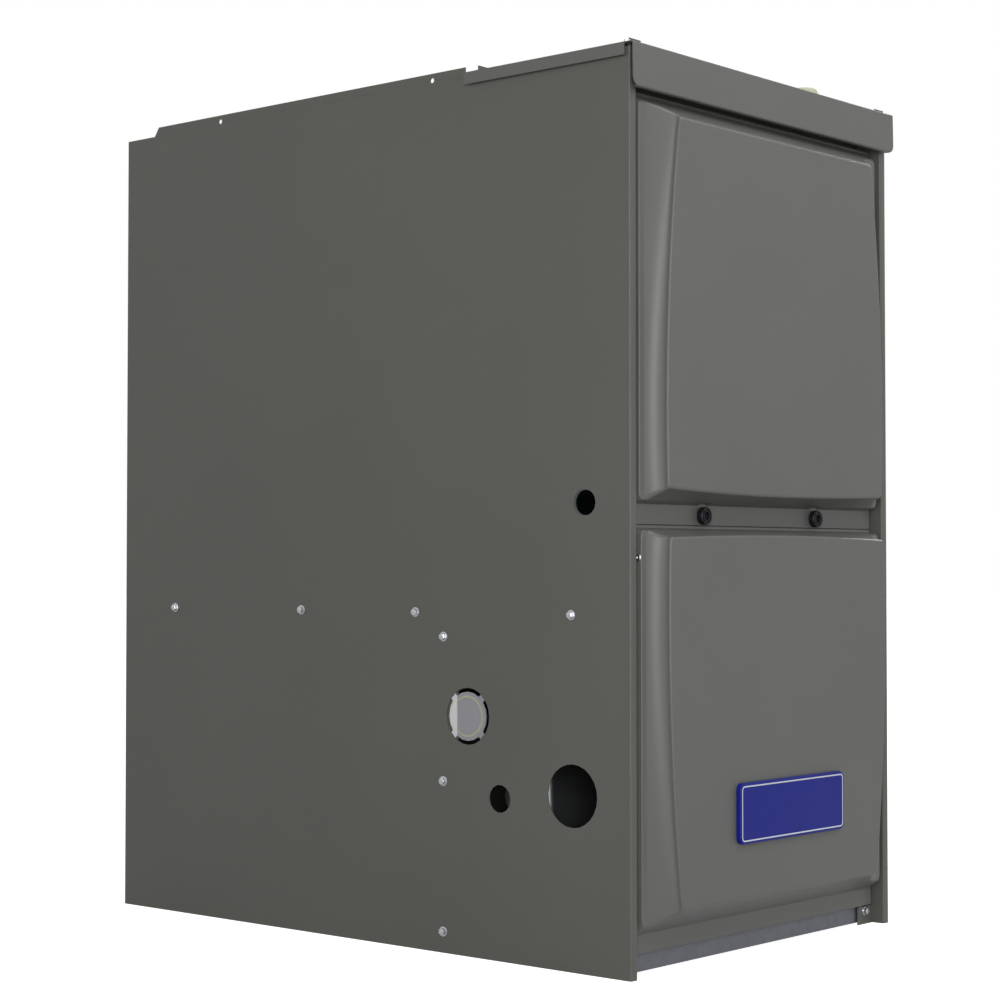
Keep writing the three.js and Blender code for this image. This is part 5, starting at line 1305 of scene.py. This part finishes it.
# Wires by name: colour, and the points they pass in millimetres. None of them crosses a joint.
WIRES = {
    "supply_black": ("black", [
        (-200, 62, 401), (-202, 80, 384), (-196, 140, 372), (-176, 192, 386), (-160, 203, 404),
    ]),
    "supply_white": ("white", [
        (-194, 66, 401), (-196, 88, 380), (-188, 146, 366), (-166, 190, 380), (-150, 203, 404),
    ]),
    "supply_earth": ("green", [
        (-188, 70, 401), (-190, 94, 376), (-184, 160, 358), (-178, 210, 362), (-176, 226, 366),
    ]),
    "transformer_line": ("black", [
        (-60, 203, 404), (-50, 196, 390), (-10, 192, 380), (24, 194, 384), (36, 198, 392),
    ]),
    "transformer_neutral": ("white", [
        (-72, 203, 404), (-58, 192, 384), (-8, 186, 372), (26, 190, 376), (36, 196, 384),
    ]),
    "transformer_low_a": ("red", [
        (-28, 203, 500), (-6, 190, 506), (30, 186, 480), (52, 190, 446), (56, 198, 424),
    ]),
    "transformer_low_b": ("blue", [
        (-28, 203, 492), (-2, 194, 496), (38, 190, 472), (64, 192, 446), (68, 198, 424),
    ]),
    "switch_a": ("black", [(-46, 203, 404), (-36, 180, 388), (-8, 120, 382), (22, 76, 396), (30, 57, 416)]),
    "switch_b": ("brown", [(-40, 203, 404), (-28, 176, 392), (2, 122, 386), (34, 78, 398), (40, 57, 416)]),
    "motor_common": ("white", [
        (-160, 204, 519), (-168, 200, 548), (-190, 250, 576),
        (-190, 370, 580), (-176, 430, 570), (-149, 446, 560),
    ]),
    "motor_high": ("black", [
        (-150, 204, 519), (-160, 198, 552), (-186, 246, 582),
        (-186, 372, 586), (-172, 434, 576), (-149, 450, 566),
    ]),
    "motor_medium": ("blue", [
        (-140, 204, 519), (-152, 196, 556), (-182, 242, 588),
        (-182, 374, 592), (-170, 438, 582), (-149, 454, 572),
    ]),
    "motor_low": ("red", [
        (-130, 204, 519), (-146, 196, 560), (-178, 240, 594),
        (-178, 376, 598), (-168, 442, 588), (-149, 458, 578),
    ]),
    "capacitor_a": ("brown", [
        (-110, 204, 519), (-90, 190, 552), (40, 186, 556), (100, 190, 540), (107, 200, 512),
    ]),
    "capacitor_b": ("brown", [
        (-104, 204, 519), (-84, 194, 546), (44, 190, 550), (110, 194, 536), (117, 200, 512),
    ]),
    "gas_valve_a": ("yellow", [
        (-60, 132, 320), (-66, 134, 290), (-96, 148, 240), (-120, 152, 205), (-126, 154, 186),
    ]),
    "gas_valve_b": ("orange", [
        (-64, 134, 320), (-74, 138, 286), (-104, 154, 236), (-122, 160, 205), (-118, 160, 186),
    ]),
    "pressure_a": ("orange", [
        (-68, 132, 320), (-100, 128, 306), (-160, 150, 300), (-186, 186, 284), (-188, 209, 274),
    ]),
    "pressure_b": ("yellow", [
        (-72, 136, 320), (-104, 134, 302), (-158, 156, 292), (-178, 188, 276), (-180, 209, 264),
    ]),
    "inducer_a": ("black", [(-56, 132, 320), (-40, 110, 312), (10, 92, 322), (44, 96, 312), (54, 104, 297)]),
    "inducer_b": ("white", [(-54, 136, 320), (-36, 116, 306), (12, 98, 314), (50, 104, 308), (62, 108, 297)]),
    "igniter_a": ("white", [
        (-76, 134, 320), (-84, 130, 270), (-76, 190, 150), (-70, 222, 100), (-62, 227, 78),
    ]),
    "sensor_a": ("blue", [(-52, 138, 320), (10, 196, 190), (100, 208, 130), (146, 216, 106), (149, 227, 81)]),
    "rollout_a": ("red", [
        (-80, 136, 320), (-92, 140, 262), (-100, 160, 150), (-92, 176, 104), (-80, 183, 84),
    ]),
    "rollout_b": ("red", [(-50, 134, 320), (120, 128, 200), (176, 150, 120), (182, 172, 98), (169, 183, 82)]),
    "limit_a": ("black", [
        (-48, 138, 320), (126, 136, 204), (186, 160, 134), (196, 200, 112), (196, 225, 100),
    ]),
}
WIRE_RADIUS = 1.3

# Profiles of (radius, place along the axis) in millimetres
SLEEVE_PROFILE = [(1.4, 0), (2.3, 0.6), (2.3, 6), (1.4, 8.5)]
GROMMET_PROFILE = [(13, 3.2), (14, 2.2), (22, 2.2), (23.5, 1.2), (23.5, 0), (13, 0)]
CAPACITOR_PROFILE = [(18.0, 0), (19.2, 0.6), (19.2, 66), (18.4, 67.6), (17.2, 66.8), (16.5, 66.2), (4, 66.2)]
TERMINAL_PROFILE = [(2.4, 0), (2.4, 5)]

GROMMET_PLACE = (-64, 135, 321)
CAPACITOR_PLACE = (112, 205.6, 440)
CAPACITOR_TERMINALS = ((107, 202, 506), (117, 202, 506))


def in_metres(profile):
    return [mm(*point) for point in profile]


class FURNACE_OT_wiring(bpy.types.Operator):
    """Lay the wires, the grommet they pass through and the motor's capacitor"""

    bl_idname = "furnace.wiring"
    bl_label = "Wiring"

    def execute(self, context):
        for name, (tint, points) in WIRES.items():
            route = smooth_route(points, WIRE_RADIUS, "wire_" + name)
            new_piece("wire_" + name, route, tint + "_wire", "cabinet")
            bm = bmesh.new()
            for end, nearby in ((points[0], points[1]), (points[-1], points[-2])):
                along = (spot(*nearby) - spot(*end)).normalized()
                turned(bm, in_metres(SLEEVE_PROFILE), along, spot(*end), 12)
            new_piece("terminals_" + name, mesh_from(bm, "terminal_sleeves"), "pale_plastic", "cabinet")
        bm = bmesh.new()
        turned(bm, in_metres(GROMMET_PROFILE), DOWN, spot(*GROMMET_PLACE))
        new_piece("wire_grommet", mesh_from(bm, "wire_grommet"), "rubber", "cabinet")
        bm = bmesh.new()
        turned(bm, in_metres(CAPACITOR_PROFILE), UP, spot(*CAPACITOR_PLACE), 40)
        for place in CAPACITOR_TERMINALS:
            turned(bm, in_metres(TERMINAL_PROFILE), UP, spot(*place), 12)
        new_piece("motor_capacitor", mesh_from(bm, "motor_capacitor"), "aluminised", "cabinet")
        return {"FINISHED"}


# ---------------------------------------------------------------------------------------------------------
# Stage

CAMERA_PLACE = (-1.82968, FRONT - 1.24041, 0.378)
CAMERA_TURN = (91.654, 0.0, -48.9906)  # degrees
CAMERA_LENS = 80.135  # millimetres, as is the sensor's width
SENSOR_WIDTH = 36.0

# The soft lights: place, the point they shine at, and their side, in metres
LIGHTS = {
    "key": ((-2.44, -2.12, 1.4), (0, -0.1, 0.5), 0.7),
    "fill": ((-2.5, -2.2, 0.75), (0, -0.1, 0.45), 1.3),
    "right": ((2.4, 0.2, 1.9), (0, -0.3, 0.45), 0.9),
    "front": ((0.3, -1.9, 2.5), (0, -0.3, 0.5), 1.2),
    "side": ((-3.2, 0.4, 0.3), (0, 0, 0.4), 1.6),
    "top": ((0.2, -0.4, 3.2), (0, 0, 0.8), 2.0),
}

PAPER = (0.55, 0.55, 0.55, 1.0)  # what the floor reflects
PAPER_LIFT = 0.45  # makes it white where it is seen, also in a reflection
CAMERA_LIFT = 0.5  # keeps the camera's background white where the light is weaker
WHITE = (1.0, 1.0, 1.0, 1.0)


def seen_rays(tree):
    """Whether a ray comes from the camera, and whether from the camera, a reflection or a clear body."""
    path = add_node(tree, "ShaderNodeLightPath")
    camera = path.outputs["Is Camera Ray"]
    seen = camera
    for other in ("Is Glossy Ray", "Is Transmission Ray"):
        either = add_node(tree, "ShaderNodeMath", {0: seen, 1: path.outputs[other]}, operation="MAXIMUM")
        seen = either.outputs[0]
    return camera, seen


class FURNACE_OT_stage(bpy.types.Operator):
    """Set the camera where the photograph was taken from, the floor, the sky and the soft lights"""

    bl_idname = "furnace.stage"
    bl_label = "Stage"

    def execute(self, context):
        settings = context.scene.furnace_stage
        scene = context.scene
        scene.view_settings.view_transform = "Standard"
        self.camera(scene)
        self.floor(scene, settings)
        self.sky(scene, settings)
        for name, (place, target, size) in LIGHTS.items():
            self.soft_light(scene, f"{name}_light", getattr(settings, f"{name}_power"), place, target, size)
        return {"FINISHED"}

    def camera(self, scene):
        data = bpy.data.cameras.new("photograph_camera")
        data.lens = CAMERA_LENS
        data.sensor_width = SENSOR_WIDTH
        camera = bpy.data.objects.new("photograph_camera", data)
        camera.location = CAMERA_PLACE
        camera.rotation_euler = [math.radians(angle) for angle in CAMERA_TURN]
        scene.collection.objects.link(camera)
        scene.camera = camera

    def floor(self, scene, settings):
        """White paper: it takes the shadow, and the camera sees it a little lighter than it is."""
        bm = bmesh.new()
        half = settings.floor_size / 2
        corners = [(-half, -half, 0), (half, -half, 0), (half, half, 0), (-half, half, 0)]
        bm.faces.new([bm.verts.new(corner) for corner in corners])
        mesh = bpy.data.meshes.new("floor")
        bm.to_mesh(mesh)
        bm.free()
        obj = bpy.data.objects.new("floor", mesh)
        scene.collection.objects.link(obj)
        material, tree, _ = new_material("white_paper")
        paper = add_node(tree, "ShaderNodeBsdfDiffuse", {"Color": PAPER})
        camera, seen = seen_rays(tree)
        lift = add_node(tree, "ShaderNodeMath", {0: seen, 1: PAPER_LIFT}, operation="MULTIPLY")
        lift = add_node(
            tree, "ShaderNodeMath", {0: camera, 1: CAMERA_LIFT, 2: lift.outputs[0]}, operation="MULTIPLY_ADD"
        )
        glow = add_node(tree, "ShaderNodeEmission", {"Strength": lift.outputs[0]})
        shader = add_node(tree, "ShaderNodeAddShader", {0: paper.outputs[0], 1: glow.outputs[0]})
        mesh.materials.append(close(material, tree, shader))

    def sky(self, scene, settings):
        """Even white light from all round, and plain white where the camera or a reflection sees it."""
        world = bpy.data.worlds.new("studio")
        world.use_nodes = True
        tree = world.node_tree
        tree.nodes.clear()
        seen = seen_rays(tree)[1]
        strength = add_node(
            tree, "ShaderNodeMapRange", {"Value": seen, "To Min": settings.sky, "To Max": 1.0}
        )
        light = add_node(tree, "ShaderNodeBackground", {"Color": WHITE, "Strength": strength.outputs[0]})
        add_node(tree, "ShaderNodeOutputWorld", {"Surface": light.outputs[0]})
        scene.world = world

    def soft_light(self, scene, name, watts, place, target, size):
        data = bpy.data.lights.new(name, "AREA")
        data.energy = watts
        data.size = size
        light = bpy.data.objects.new(name, data)
        light.location = place
        light.visible_camera = False
        light.rotation_euler = (Vector(target) - Vector(place)).to_track_quat("-Z", "Y").to_euler()
        scene.collection.objects.link(light)


# ---------------------------------------------------------------------------------------------------------
# Panel and registration

OPERATORS = (
    FURNACE_OT_stage,
    FURNACE_OT_finishes,
    FURNACE_OT_hoses,
    FURNACE_OT_doors,
    FURNACE_OT_closures,
    FURNACE_OT_side_screws,
    FURNACE_OT_small_screws,
    FURNACE_OT_knobs,
    FURNACE_OT_badge,
    FURNACE_OT_wiring,
)


class FURNACE_PT_panel(bpy.types.Panel):
    bl_idname = "FURNACE_PT_panel"
    bl_label = "Furnace"
    bl_space_type = "VIEW_3D"
    bl_region_type = "UI"
    bl_category = "Furnace"

    def draw(self, context):
        for operator in OPERATORS:
            self.layout.operator(operator.bl_idname)
        for name in PROPERTY_GROUPS:
            box = self.layout.box()
            group = getattr(context.scene, name)
            for field in group.__annotations__:
                box.prop(group, field)


def register():
    for group in PROPERTY_GROUPS.values():
        bpy.utils.register_class(group)
    for operator in OPERATORS:
        bpy.utils.register_class(operator)
    bpy.utils.register_class(FURNACE_PT_panel)
    for name, group in PROPERTY_GROUPS.items():
        setattr(bpy.types.Scene, name, PointerProperty(type=group))


def unregister():
    for name in PROPERTY_GROUPS:
        delattr(bpy.types.Scene, name)
    bpy.utils.unregister_class(FURNACE_PT_panel)
    for operator in reversed(OPERATORS):
        bpy.utils.unregister_class(operator)
    for group in reversed(PROPERTY_GROUPS.values()):
        bpy.utils.unregister_class(group)


def main():
    register()
    bpy.ops.furnace.stage()
    bpy.ops.furnace.finishes()
    bpy.ops.furnace.hoses()
    bpy.ops.furnace.doors()
    bpy.ops.furnace.closures()
    bpy.ops.furnace.side_screws()
    bpy.ops.furnace.small_screws()
    bpy.ops.furnace.knobs()
    bpy.ops.furnace.badge()
    bpy.ops.furnace.wiring()


if __name__ == "__main__":
    main()
